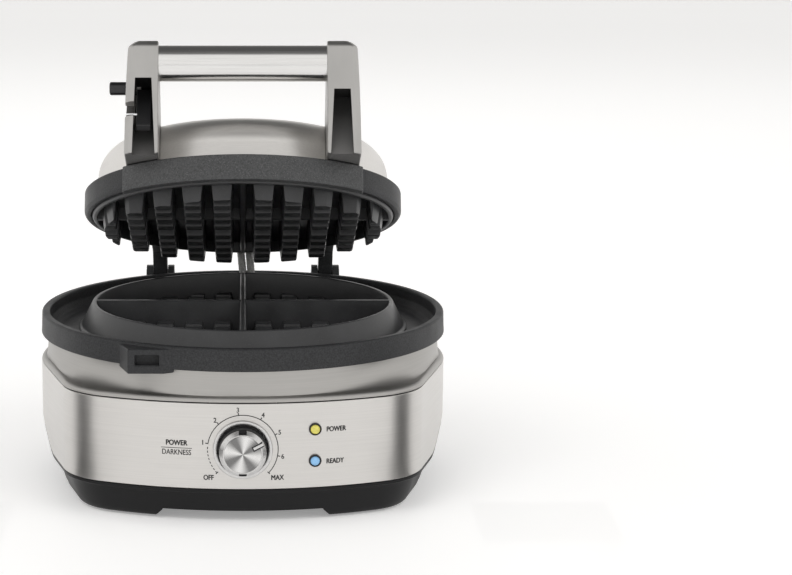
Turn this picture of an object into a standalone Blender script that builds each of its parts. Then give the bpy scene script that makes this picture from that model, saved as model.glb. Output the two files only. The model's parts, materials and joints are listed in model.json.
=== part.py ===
"""Round waffle maker, modelled with its lid part open.

Sizes are written in millimetres and are turned into metres where vertices are made.
The origin is on the floor under the centre of the lower plate: +Z up, the dial faces -Y,
+X to the right of someone who faces the dial.
The lid is drawn closed and turned open by its parent empty, which sits on the hinge axis.
"""
import math

import bmesh
import bpy
from mathutils import Matrix, Vector

MM = 0.001

# ---- driving sizes, in millimetres ---------------------------------------------------------
GAP = 0.3                    # clearance that touching pieces keep
RING_TOP = 102.6             # height of the moat ring's rim over the floor
RING_R = 121.7               # moat ring, outer radius
RING_HEIGHT = 13.2
MOAT_R = 117.0               # inner radius of the moat wall
MATE_Z = RING_TOP + 4.3      # plane where the two plates meet
SEAM_Z = RING_TOP - 31.4     # joint between shoulder and wrap
WRAP_LOW_Z = RING_TOP - 81.4
SIDE_RISE = 17.0             # how far the wrap's lower edge climbs at the sides
SHEET = 1.0                  # steel sheet thickness
FRONT_Y = -121.0             # front of the wrap
BODY_HALF_WIDTH = 122.4
HINGE_Y = 122.0
HINGE_Z = RING_TOP - 1.6
BRACKET_X = 54.0             # the two hinges' distance from the middle
LID_OPEN_DEG = 22.8          # how far the lid stands open
LID_R = 96.3
LID_RING_LOW = MATE_Z + 3.5
LID_RING_TOP = MATE_Z + 15.6
BOSS_R = 100.3
BOSS_HALF_WIDTH = 70.0
DOME_R = 89.8
DOME_TOP = MATE_Z + 44.5
DOME_FILLET = 20.0
DOME_CROWN = 2.0
TOOTH_PITCH = 17.3
TOOTH_FIRST = 12.1           # first tooth row's distance from the divider
TOOTH_ROWS = 5               # rows on each side of a divider
TOOTH_BASE = 13.2
TOOTH_TIP = 9.8
DIVIDER_REACH = 89.0        # the dividers end inside the plates' rims
ARM_IN_X = 48.4
ARM_OUT_X = 67.6
BAR_R = 10.6
BAR_Y = -95.0
BAR_Z = MATE_Z + 70.5
DIAL_Z = 44.4
LAMP_X = 41.0
LAMP_Z = (55.4, 37.0)
KNOB_R = 13.3
KNOB_ON_DEG = 62.0           # pointer's angle from straight up, clockwise, as the knob stands
LATCH_X = -57.0
LATCH_Y = -84.0
PEG_R = 3.9
LATCH_TRAVEL = 24.0
PEG_H = 60.4                 # the peg's height over the mating plane, lid closed
GLAND_Z = 38.0               # the lead's inlet
GLAND_R = 6.0
FRONT_ARC_R = 196.0          # plan radii of the body
CORNER_R = 42.0
SIDE_ARC_R = 75.0
SIDE_TILT_DEG = 15.0         # turn of the body's side just behind its front corner
REAR_HALF = 46.0             # half width of the wrap's opening at the back
ARCH_H = 6.3                 # clear height between the tray's corner feet
SCREW_SEAT = 8.3             # height of the screws' counterbores
FOOT_SPOTS = [(x, y) for x in (-68.0, 68.0) for y in (-66.0, 62.0)]
SCREW_SPOTS = [(x, y) for x in (-30.0, 30.0) for y in (-60.0, 60.0)]
LATCH_DIR = Vector((0.0, -0.51, -0.86)).normalized()

SEGMENTS = 64


# ---- materials -----------------------------------------------------------------------------
def material(name, color, roughness, metallic):
    mat = bpy.data.materials.new(name)
    mat.use_nodes = True
    shader = mat.node_tree.nodes["Principled BSDF"]
    shader.inputs["Base Color"].default_value = (*color, 1.0)
    shader.inputs["Roughness"].default_value = roughness
    shader.inputs["Metallic"].default_value = metallic
    return mat


def make_materials():
    return {
        "brushed_steel": material("brushed_steel", (0.74, 0.72, 0.70), 0.32, 1.0),
        "cast_black": material("cast_black", (0.035, 0.036, 0.038), 0.55, 0.3),
        "nonstick": material("nonstick", (0.03, 0.03, 0.032), 0.4, 0.4),
        "satin_cast": material("satin_cast", (0.42, 0.41, 0.40), 0.45, 1.0),
        "polished": material("polished", (0.85, 0.85, 0.86), 0.15, 1.0),
        "black_plastic": material("black_plastic", (0.015, 0.015, 0.016), 0.4, 0.0),
        "rubber": material("rubber", (0.02, 0.02, 0.02), 0.85, 0.0),
        "zinc": material("zinc", (0.6, 0.61, 0.63), 0.4, 1.0),
        "spring_steel": material("spring_steel", (0.75, 0.76, 0.78), 0.25, 1.0),
        "amber_lens": material("amber_lens", (0.75, 0.68, 0.12), 0.25, 0.0),
        "blue_lens": material("blue_lens", (0.15, 0.42, 0.75), 0.25, 0.0),
        "board": material("board", (0.04, 0.22, 0.09), 0.5, 0.0),
        "heater_steel": material("heater_steel", (0.35, 0.34, 0.33), 0.5, 1.0),
        "pale_plastic": material("pale_plastic", (0.7, 0.69, 0.65), 0.5, 0.0),
        "brass": material("brass", (0.72, 0.56, 0.25), 0.35, 1.0),
        "glass_sleeve": material("glass_sleeve", (0.66, 0.66, 0.64), 0.7, 0.0),
    }


# ---- building blocks -----------------------------------------------------------------------
class Builder:
    """Makes one object from each finished bmesh and keeps the shared materials."""

    def __init__(self):
        self.mats = make_materials()
        self.lid = None
        self.knob = None
        self.latch = None

    def finish(self, name, bm, mat, parent=None, smooth_deg=35.0):
        """Turns a bmesh in world millimetres into an object, under a parent if given."""
        bmesh.ops.recalc_face_normals(bm, faces=bm.faces)
        mesh = bpy.data.meshes.new(name)
        bm.to_mesh(mesh)
        bm.free()
        obj = bpy.data.objects.new(name, mesh)
        bpy.context.scene.collection.objects.link(obj)
        anchor = Vector(parent["anchor_mm"]) * MM if parent else Vector()
        mesh.transform(Matrix.Translation(-anchor) @ Matrix.Scale(MM, 4))
        if parent:
            obj.parent = parent
        mesh.materials.append(self.mats[mat])
        mesh.shade_smooth()
        mesh.set_sharp_from_angle(angle=math.radians(smooth_deg))
        return obj

    def cutter(self, name, bm, parent=None):
        obj = self.finish(name, bm, "zinc", parent)
        obj.hide_render = True
        obj.display_type = "WIRE"
        return obj

    def boolean(self, obj, tool, operation="DIFFERENCE"):
        mod = obj.modifiers.new(operation.lower(), "BOOLEAN")
        mod.operation = operation
        mod.solver = "EXACT"
        mod.object = tool
        return mod


def joint_empty(name, at_mm, rotation_x_deg=0.0, parent=None):
    empty = bpy.data.objects.new(name, None)
    bpy.context.scene.collection.objects.link(empty)
    empty["anchor_mm"] = at_mm
    base = Vector(parent["anchor_mm"]) if parent else Vector()
    empty.location = (Vector(at_mm) - base) * MM
    empty.rotation_euler.x = math.radians(rotation_x_deg)
    empty.parent = parent
    return empty


def arc(cx, cy, radius, start_deg, end_deg, steps):
    """Points on an arc, both ends included."""
    points = []
    for i in range(steps + 1):
        angle = math.radians(start_deg + (end_deg - start_deg) * i / steps)
        points.append((cx + radius * math.cos(angle), cy + radius * math.sin(angle)))
    return points


def loops_to_bmesh(loops, closed_ring=False):
    """Skins a list of equally long closed loops, and caps the first and last one."""
    bm = bmesh.new()
    rings = [[bm.verts.new(p) for p in loop] for loop in loops]
    pairs = list(zip(rings, rings[1:]))
    if closed_ring:
        pairs.append((rings[-1], rings[0]))
    for low, high in pairs:
        for i in range(len(low)):
            j = (i + 1) % len(low)
            bm.faces.new((low[i], low[j], high[j], high[i]))
    if not closed_ring:
        bm.faces.new(rings[0][::-1])
        bm.faces.new(rings[-1])
    return bm


def turned(profile, segments=SEGMENTS, centre=(0.0, 0.0)):
    """Spins a closed (radius, z) profile round the vertical axis at the centre."""
    bm = bmesh.new()
    columns = []
    for i in range(segments):
        angle = 2.0 * math.pi * i / segments
        column = []
        for radius, z in profile:
            if radius < 1e-6 and columns:
                index = profile.index((radius, z))
                column.append(columns[0][index])
                continue
            x = centre[0] + radius * math.cos(angle)
            y = centre[1] + radius * math.sin(angle)
            column.append(bm.verts.new((x, y, z)))
        columns.append(column)
    count = len(profile)
    for i in range(segments):
        here, there = columns[i], columns[(i + 1) % segments]
        for k in range(count):
            m = (k + 1) % count
            corners = [here[k], there[k], there[m], here[m]]
            unique = list(dict.fromkeys(corners))
            if len(unique) >= 3:
                bm.faces.new(unique)
    return bm


def prism(outline, low, high):
    """A vertical prism over a list of (x, y) points."""
    return loops_to_bmesh([[(x, y, low) for x, y in outline], [(x, y, high) for x, y in outline]])


def side_prism(outline, x_low, x_high):
    """A prism along X over a list of (y, z) points."""
    loops = [[(x_low, y, z) for y, z in outline], [(x_high, y, z) for y, z in outline]]
    return loops_to_bmesh(loops)


def box(x0, x1, y0, y1, z0, z1):
    return prism([(x0, y0), (x1, y0), (x1, y1), (x0, y1)], z0, z1)


def rod(start, end, radius, segments=16, chamfer=0.0):
    """A round rod between two points, with a chamfer at its far end."""
    start = Vector(start)
    end = Vector(end)
    axis = (end - start).normalized()
    turn = axis.to_track_quat("Z", "Y")
    length = (end - start).length
    stations = [(0.0, radius), (length - chamfer, radius)]
    if chamfer > 0.0:
        stations.append((length, radius - chamfer))
    loops = []
    for along, r in stations:
        loop = []
        for i in range(segments):
            angle = 2.0 * math.pi * i / segments
            local = Vector((r * math.cos(angle), r * math.sin(angle), along))
            loop.append(start + turn @ local)
        loops.append(loop)
    return loops_to_bmesh(loops)


def join(bm, other):
    """Adds another bmesh's faces to the first."""
    mesh = bpy.data.meshes.new("part")
    other.to_mesh(mesh)
    other.free()
    bm.from_mesh(mesh)
    bpy.data.meshes.remove(mesh)
    return bm


# ---- body outline --------------------------------------------------------------------------
def body_outline(inset, rear_open=False):
    """Closed plan outline: shallow front arc, front corners, sides and a round back.

    The four arcs of each half are tangent to each other. inset moves the outline inwards.
    With rear_open, it is an open line that leaves out the opening at the back.
    """
    front_c = FRONT_Y + FRONT_ARC_R
    side_c = BODY_HALF_WIDTH - SIDE_ARC_R
    tilt = math.radians(SIDE_TILT_DEG)
    reach = side_c * math.cos(tilt) + SIDE_ARC_R - CORNER_R
    arm = FRONT_ARC_R - CORNER_R
    swing = math.asin((reach + front_c * math.sin(tilt)) / arm) - tilt
    corner = (arm * math.sin(swing), front_c - arm * math.cos(swing))
    swing_deg = math.degrees(swing)
    half = arc(0.0, front_c, FRONT_ARC_R - inset, -90.0, -90.0 + swing_deg, 5)[:-1]
    half += arc(*corner, CORNER_R - inset, -90.0 + swing_deg, -SIDE_TILT_DEG, 5)
    side = arc(side_c, 0.0, SIDE_ARC_R - inset, -SIDE_TILT_DEG, 0.0, 2)[:-1]
    start, end = Vector(half[-1]), Vector(side[0])
    half += [tuple(start.lerp(end, i / 4.0)) for i in range(1, 4)] + side
    rear_r = BODY_HALF_WIDTH - inset
    opening_deg = math.degrees(math.acos(REAR_HALF / BODY_HALF_WIDTH))
    half += arc(0.0, 0.0, rear_r, 0.0, opening_deg, 7)
    if rear_open:
        return [(-x, y) for x, y in half[:0:-1]] + half
    half += arc(0.0, 0.0, rear_r, opening_deg, 90.0, 3)[1:]
    return half + [(-x, y) for x, y in half[-2:0:-1]]


def smooth_step(value, low, high):
    t = min(max((value - low) / (high - low), 0.0), 1.0)
    return t * t * (3.0 - 2.0 * t)


def side_share(y):
    """0 at the front and back of the body, 1 along its sides, where the steel is cut high."""
    return smooth_step(y, -46.0, -4.0) * (1.0 - smooth_step(y, 34.0, 76.0))


# ---- base: shells --------------------------------------------------------------------------
def base_tray(b):
    """Black moulded tub: feet lobes, tapered skirt, lip under the steel, inner wall."""
    low = WRAP_LOW_Z
    outer = [
        # height at front, inset at front, height at side, inset at side
        (1.0, 13.0, 1.2, 31.0),
        (1.4, 10.6, 2.0, 27.0),
        (3.4, 8.8, 6.0, 23.0),
        (7.5, 7.2, 14.0, 18.5),
        (12.0, 5.8, 24.0, 15.0),
        (low - 4.4, 4.4, low + SIDE_RISE - 6.0, 12.0),
        (low - 2.7, 3.4, low + SIDE_RISE - 3.2, 10.5),
        (low - 2.3, 0.5, low + SIDE_RISE - 2.3, 0.5),
        (low - GAP, 0.2, low + SIDE_RISE - GAP, 0.2),
        (low - GAP, SHEET + GAP, low + SIDE_RISE - GAP, SHEET + GAP),
        (SEAM_Z - 3.0, SHEET + GAP, SEAM_Z - 3.0, SHEET + GAP),
        (SEAM_Z - 3.0, 3.7, SEAM_Z - 3.0, 3.7),
        (low + 2.5, 3.7, low + SIDE_RISE + 3.0, 3.7),
        (low - 2.0, 7.0, low + SIDE_RISE - 2.0, 13.6),
        (15.0, 9.4, 24.0, 18.4),
        (12.0, 11.6, 15.0, 23.0),
        (9.8, 17.0, 10.6, 30.0),
    ]
    loops = []
    for z_front, in_front, z_side, in_side in outer:
        loop = []
        plain = body_outline(0.0)
        a = body_outline(in_front)
        c = body_outline(in_side)
        for (_, y0), (xa, ya), (xc, yc) in zip(plain, a, c):
            t = side_share(y0)
            loop.append((xa + (xc - xa) * t, ya + (yc - ya) * t, z_front + (z_side - z_front) * t))
        loops.append(loop)
    tray = b.finish("base_tray", loops_to_bmesh(loops), "black_plastic")
    arch = box(-46.0, 46.0, -140.0, 140.0, -2.0, ARCH_H)
    join(arch, box(-140.0, 140.0, -46.0, 46.0, -1.9, ARCH_H - 0.1))
    for side in (-1.0, 1.0):
        slope = [(side * 45.5, -2.0), (side * 53.0, -2.0), (side * 45.5, ARCH_H - 0.05)]
        loops = [[(x, y, z) for x, z in slope] for y in (-139.0, 139.0)]
        join(arch, loops_to_bmesh(loops))
    for x, y in FOOT_SPOTS:
        join(arch, turned([(0.0, -2.0), (9.3, -2.0), (9.3, 2.6), (0.0, 2.6)], 24, (x, y)))
    for x, y in SCREW_SPOTS:
        join(arch, turned([(0.0, -2.0), (3.6, -2.0), (3.6, SCREW_SEAT), (0.0, SCREW_SEAT)], 16, (x, y)))
    tool = b.cutter("tray_cutter", arch)
    mod = b.boolean(tray, tool)
    mod.use_self = True
    return tray


def foot_pads(b):
    for i, (x, y) in enumerate(FOOT_SPOTS):
        profile = [(0.0, 0.0), (8.3, 0.0), (9.0, 0.7), (9.0, 2.3), (0.0, 2.3)]
        b.finish(f"foot_pad_{i + 1}", turned(profile, 24, (x, y)), "rubber")


def base_screws(b):
    """Pan-head screws in the tray's floor, seen only from below."""
    for i, (x, y) in enumerate(SCREW_SPOTS):
        top = SCREW_SEAT - GAP
        profile = [
            (0.0, top - 1.9), (1.0, top - 1.9), (1.2, top - 2.5), (2.6, top - 2.5), (3.2, top - 1.7),
            (3.2, top), (0.0, top),
        ]
        b.finish(f"base_screw_{i + 1}", turned(profile, 12, (x, y)), "zinc")


def steel_wrap(b):
    """Brushed sheet round front and sides, cut high at the sides, open at the back."""
    outer = body_outline(0.0, True)
    inner = body_outline(SHEET, True)
    top = SEAM_Z - GAP
    bm = bmesh.new()
    columns = []
    for (xo, yo), (xi, yi) in zip(outer, inner):
        low = WRAP_LOW_Z + SIDE_RISE * side_share(yo)
        corners = [(xo, yo, low), (xo, yo, top), (xi, yi, top), (xi, yi, low)]
        columns.append([bm.verts.new(c) for c in corners])
    for here, there in zip(columns, columns[1:]):
        for k in range(4):
            m = (k + 1) % 4
            bm.faces.new((here[k], there[k], there[m], here[m]))
    bm.faces.new(columns[0])
    bm.faces.new(columns[-1][::-1])
    wrap = b.finish("steel_wrap", bm, "brushed_steel")
    holes = rod((0.0, -150.0, DIAL_Z), (0.0, -100.0, DIAL_Z), 6.0, 24)
    for z in LAMP_Z:
        join(holes, rod((LAMP_X, -150.0, z), (LAMP_X, -100.0, z), 3.0, 16))
    b.boolean(wrap, b.cutter("wrap_holes", holes))
    tray = bpy.data.objects["base_tray"]
    holes = rod((0.0, -151.0, DIAL_Z), (0.0, -101.0, DIAL_Z), 6.4, 24)
    for z in LAMP_Z:
        join(holes, rod((LAMP_X, -151.0, z), (LAMP_X, -101.0, z), 3.3, 16))
    join(holes, rod((0.0, 100.0, GLAND_Z), (0.0, 150.0, GLAND_Z), GLAND_R + GAP, 20))
    b.boolean(tray, b.cutter("tray_holes", holes))


def rear_panel(b):
    """Moulded panel that closes the wrap at the back and carries the lead's inlet."""
    rear_r = BODY_HALF_WIDTH
    half_deg = math.degrees(math.asin((REAR_HALF - 0.6) / rear_r))
    outer = arc(0.0, 0.0, rear_r + 0.6, 90.0 - half_deg, 90.0 + half_deg, 6)
    inner = arc(0.0, 0.0, rear_r - SHEET + 0.1, 90.0 + half_deg, 90.0 - half_deg, 6)
    panel = b.finish("rear_panel", prism(outer + inner, WRAP_LOW_Z, SEAM_Z - GAP), "black_plastic")
    hole = rod((0.0, 100.0, GLAND_Z), (0.0, 150.0, GLAND_Z), GLAND_R + GAP, 20)
    b.boolean(panel, b.cutter("panel_hole", hole))


def shoulder_shell(b):
    """Steel shoulder: rounded lip over the seam, then a dished slope up to the ring."""
    lip = 3.0
    base = SEAM_Z + 0.4
    top_z = RING_TOP - RING_HEIGHT - GAP
    top_r = 118.2

    def station(share_lip, share_slope, offset):
        angle = math.radians(90.0 * share_lip)
        inset = lip * (1.0 - math.cos(angle))
        z = base + lip * math.sin(angle)
        slope = math.radians(90.0 * share_slope)
        blend = math.sin(slope)
        rise = (top_z - base - lip) * (1.0 - math.cos(slope))
        loop = []
        for x, y in body_outline(inset + offset):
            bearing = math.atan2(y, x)
            tx = (top_r - offset) * math.cos(bearing)
            ty = (top_r - offset) * math.sin(bearing)
            loop.append((x + (tx - x) * blend, y + (ty - y) * blend, z + rise))
        return loop

    outer = [station(s / 3.0, 0.0, 0.0) for s in range(4)]
    outer += [station(1.0, s / 3.0, 0.0) for s in range(1, 4)]
    inner = [station(1.0, s / 3.0, SHEET) for s in range(3, 0, -1)]
    inner += [station(s / 2.0, 0.0, SHEET) for s in range(2, -1, -1)]
    lowered = []
    for loop in inner:
        lowered.append([(x, y, max(z - 0.9, base)) for x, y, z in loop])
    lowered[0] = [(x, y, z + 0.9) for x, y, z in lowered[0]]
    b.finish("shoulder_shell", loops_to_bmesh(outer + lowered, closed_ring=True), "brushed_steel")


def moat_ring(b):
    """Cast ring: outer wall, overflow moat and the catch for the lid's latch."""
    top = RING_TOP
    low = RING_TOP - RING_HEIGHT
    profile = [
        (RING_R + 0.5, low), (RING_R + 0.3, low + 3.0), (RING_R, top - 1.2), (RING_R - 0.5, top - 0.3),
        (RING_R - 1.5, top), (MOAT_R + 1.3, top), (MOAT_R + 0.4, top - 0.4), (MOAT_R, top - 1.5),
        (MOAT_R - 1.0, top - 7.5), (MOAT_R - 3.5, top - 10.6), (MOAT_R - 7.0, top - 11.6),
        (98.2, top - 11.6), (98.2, top - 14.2), (MOAT_R - 3.0, top - 14.2), (MOAT_R - 0.4, top - 12.4),
        (MOAT_R - 0.2, low),
    ]
    ring = b.finish("moat_ring", turned(profile, 64), "cast_black")
    bottom = top - 15.2
    plan_low = [(-70.5, -98.6), (-64.9, -117.4), (-44.8, -117.4), (-38.5, -114.3), (-44.0, -111.3)]
    plan_high = [(-70.5, -98.6), (-64.9, -115.2), (-44.8, -115.2), (-38.5, -114.3), (-44.0, -111.3)]
    loops = [[(x, y, bottom) for x, y in plan_low], [(x, y, top - 1.6) for x, y in plan_high]]
    b.boolean(ring, b.cutter("catch_lug", loops_to_bmesh(loops)), "UNION")
    window = box(-61.0, -47.1, -130.0, -111.4, top - 10.6, top - 4.6)
    b.boolean(ring, b.cutter("catch_window", window))


# ---- plates --------------------------------------------------------------------------------
def tooth_field(z_root, z_tip):
    """Truncated pyramids in four blocks, clipped later to the plate's round well."""
    spots = []
    for i in range(TOOTH_ROWS):
        for sign in (-1.0, 1.0):
            spots.append(sign * (TOOTH_FIRST + TOOTH_PITCH * i))
    bm = bmesh.new()
    reach = 81.5
    for x in spots:
        for y in spots:
            nearest = math.hypot(abs(x) - TOOTH_TIP / 2.0, abs(y) - TOOTH_TIP / 2.0)
            if nearest > reach:
                continue
            loops = []
            for z, side in ((z_root, TOOTH_BASE), (z_tip, TOOTH_TIP)):
                h = side / 2.0
                loops.append([(x - h, y - h, z), (x + h, y - h, z), (x + h, y + h, z), (x - h, y + h, z)])
            join(bm, loops_to_bmesh(loops))
    return bm


def cooking_plate(b, name, profile, z_root, z_tip, z_edge, tip_r, parent=None):
    """Round plate with a well, its teeth and a cross of dividers."""
    plate = b.finish(name, turned(profile, 48), "nonstick", parent)
    teeth = b.cutter(f"{name}_teeth", tooth_field(z_root, z_tip), parent)
    lower, upper = sorted((z_root - (z_tip - z_root), z_tip + (z_tip - z_root)))
    root_r = tip_r + 2.2
    slope = (tip_r - root_r) / (z_tip - z_root)
    r_low = root_r + slope * (lower - z_root)
    r_high = root_r + slope * (upper - z_root)
    cone = turned([(0.0, lower), (r_low, lower), (r_high, upper), (0.0, upper)], 48)
    b.boolean(teeth, b.cutter(f"{name}_well", cone, parent), "INTERSECT")
    b.boolean(plate, teeth, "UNION")
    loops = []
    for z, w in ((z_root + math.copysign(0.3, z_tip - z_root), 2.6), (z_edge, 1.5)):
        quarter = [(DIVIDER_REACH, -w), (DIVIDER_REACH, w), (w, w)]
        plan = []
        for turn in range(4):
            for x, y in quarter:
                for _ in range(turn):
                    x, y = -y, x
                plan.append((x, y))
        loops.append([(x, y, z) for x, y in plan])
    cross = b.cutter(f"{name}_dividers", loops_to_bmesh(loops), parent)
    b.boolean(plate, cross, "UNION")
    return plate


def lower_plate(b):
    top = MATE_Z - GAP / 2.0
    floor = MATE_Z - 20.8
    profile = [
        (0.0, floor), (85.2, floor), (86.4, floor + 1.5), (88.6, top - 0.4), (89.2, top), (90.4, top),
        (91.3, top - 0.5), (92.0, top - 1.6), (97.6, RING_TOP - 9.4), (99.2, RING_TOP - 10.4),
        (99.4, RING_TOP - 11.3), (97.9, RING_TOP - 11.3), (97.9, floor - 1.0), (95.5, floor - 3.0),
        (0.0, floor - 3.0),
    ]
    cooking_plate(b, "lower_plate", profile, floor - 0.6, floor + 9.2, top - 0.1, 82.8)


def upper_plate(b):
    low = MATE_Z + GAP / 2.0
    ceiling = MATE_Z + 7.0
    profile = [
        (0.0, ceiling), (85.8, ceiling), (87.0, ceiling - 1.0), (88.8, low + 0.3), (89.4, low), (90.3, low),
        (91.2, low + 0.6), (91.6, low + 2.0), (91.6, ceiling + 3.2), (90.6, ceiling + 4.0),
        (0.0, ceiling + 4.0),
    ]
    cooking_plate(b, "upper_plate", profile, ceiling + 0.6, MATE_Z - 8.0, low + 0.1, 84.2, b.lid)


def heater(b, name, z, parent=None):
    """Tubular element bent into an open ring, with two straight cold ends."""
    radius, tube = 58.0, 3.6
    loops = []
    steps = 20
    for i in range(steps + 1):
        angle = math.radians(100.0 + 340.0 * i / steps)
        centre = Vector((radius * math.cos(angle), radius * math.sin(angle), z))
        outward = Vector((math.cos(angle), math.sin(angle), 0.0))
        loop = []
        for k in range(6):
            turn = 2.0 * math.pi * k / 6.0
            loop.append(centre + outward * tube * math.cos(turn) + Vector((0, 0, tube * math.sin(turn))))
        loops.append(loop)
    b.finish(name, loops_to_bmesh(loops), "heater_steel", parent)


def reflector(b, name, z_flat, z_rim, parent=None):
    """Shallow pressed pan behind a heater."""
    step = SHEET if z_rim > z_flat else -SHEET
    profile = [
        (0.0, z_flat), (66.0, z_flat), (72.0, z_rim), (80.0, z_rim), (80.0, z_rim + step * 0.6),
        (71.4, z_rim + step * 0.6), (65.4, z_flat + step * 0.6), (0.0, z_flat + step * 0.6),
    ]
    b.finish(name, turned(profile, 24), "zinc", parent)


# ---- front panel ---------------------------------------------------------------------------
def dial_and_lamps(b):
    y0 = FRONT_Y
    b.finish("dial_bezel", disc_ring(0.0, DIAL_Z, y0 - GAP, y0 - 1.4, KNOB_R + 3.6, 6.2), "polished")
    for tag, z, lens in (("power", LAMP_Z[0], "amber_lens"), ("ready", LAMP_Z[1], "blue_lens")):
        y = y0 + FRONT_ARC_R - math.sqrt(FRONT_ARC_R ** 2 - LAMP_X ** 2)
        b.finish(f"{tag}_collar", disc_ring(LAMP_X, z, y - 1.1, y - 2.1, 3.9, 2.9), "black_plastic")
        b.finish(f"{tag}_lens", rod((LAMP_X, y + 12.0, z), (LAMP_X, y - 2.4, z), 2.6, 20, 0.5), lens)
    b.finish("dial_switch", box(-13.0, 13.0, y0 + 9.0, y0 + 22.0, DIAL_Z - 12.0, DIAL_Z + 12.0), "pale_plastic")


def disc_ring(x, z, y_back, y_front, outer, inner, segments=24):
    """A flat ring that faces -Y, with a chamfered front edge."""
    chamfer = min(0.5, (y_back - y_front) / 2.0)
    profile = [
        (inner, y_back), (outer, y_back), (outer, y_front + chamfer), (outer - chamfer, y_front),
        (inner + chamfer, y_front), (inner, y_front + chamfer),
    ]
    bm = turned(profile, segments)
    turn = Matrix.Translation((x, 0.0, z)) @ Matrix(((1, 0, 0, 0), (0, 0, 1, 0), (0, -1, 0, 0), (0, 0, 0, 1)))
    bmesh.ops.transform(bm, matrix=turn, verts=bm.verts)
    return bm


def knob(b):
    """Turned aluminium knob on its shaft, with a dark pointer set in its rim."""
    y0 = FRONT_Y
    back, front = y0 - 1.9, y0 - 11.6
    profile = [
        (0.0, back), (KNOB_R + 0.6, back), (KNOB_R + 0.6, back - 2.4), (KNOB_R, back - 2.9),
        (KNOB_R - 0.5, front + 1.0), (KNOB_R - 1.3, front), (0.0, front),
    ]
    bm = turned(profile, 48)
    turn = Matrix.Translation((0.0, 0.0, DIAL_Z))
    turn = turn @ Matrix(((1, 0, 0, 0), (0, 0, 1, 0), (0, -1, 0, 0), (0, 0, 0, 1)))
    bmesh.ops.transform(bm, matrix=turn, verts=bm.verts)
    body = b.finish("knob_body", bm, "polished", b.knob)
    angle = math.radians(KNOB_ON_DEG)
    tilt = Matrix.Translation((0.0, 0.0, DIAL_Z)) @ Matrix.Rotation(angle, 4, "Y")
    slot = box(-1.3, 1.3, front - 3.0, front + 1.2, KNOB_R - 5.2, KNOB_R + 3.0)
    bmesh.ops.transform(slot, matrix=tilt, verts=slot.verts)
    b.boolean(body, b.cutter("pointer_slot", slot, b.knob))
    bore = rod((0.0, back + 2.0, DIAL_Z), (0.0, back - 6.0, DIAL_Z), 3.3, 20)
    b.boolean(body, b.cutter("knob_bore", bore, b.knob))
    mark = box(-1.0, 1.0, front + 0.1, front + 0.9, KNOB_R - 4.9, KNOB_R - 1.6)
    bmesh.ops.transform(mark, matrix=tilt, verts=mark.verts)
    b.finish("knob_pointer", mark, "black_plastic", b.knob)
    shaft = rod((0.0, y0 + 8.7, DIAL_Z), (0.0, back - 5.7, DIAL_Z), 3.0, 20)
    b.finish("dial_shaft", shaft, "brass", b.knob)


def inner_parts(b):
    """Control board, buzzer, thermostat, terminal block and the lead's inlet."""
    b.finish("control_board", box(-38.0, 52.0, -92.0, -90.4, 26.0, 62.0), "board")
    b.finish("buzzer", rod((36.0, -90.0, 46.0), (36.0, -83.0, 46.0), 6.0, 20), "black_plastic")
    b.finish("terminal_block", box(-22.0, 22.0, 78.0, 92.0, 12.0, 26.0), "pale_plastic")
    floor = MATE_Z - 20.8 - 3.0
    stat = rod((0.0, 22.0, floor - GAP), (0.0, 22.0, floor - 12.0), 9.0, 20)
    b.finish("thermostat", stat, "zinc")
    b.finish("thermal_fuse", rod((-14.0, -20.0, floor - 3.2), (10.0, -20.0, floor - 3.2), 2.4, 12), "zinc")
    gland = rod((0.0, 104.0, GLAND_Z), (0.0, 132.6, GLAND_Z), GLAND_R, 20, 1.0)
    body = b.finish("lead_inlet", gland, "black_plastic")
    bore = rod((0.0, 100.0, GLAND_Z), (0.0, 140.0, GLAND_Z), 3.6, 16)
    b.boolean(body, b.cutter("inlet_bore", bore))


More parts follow.
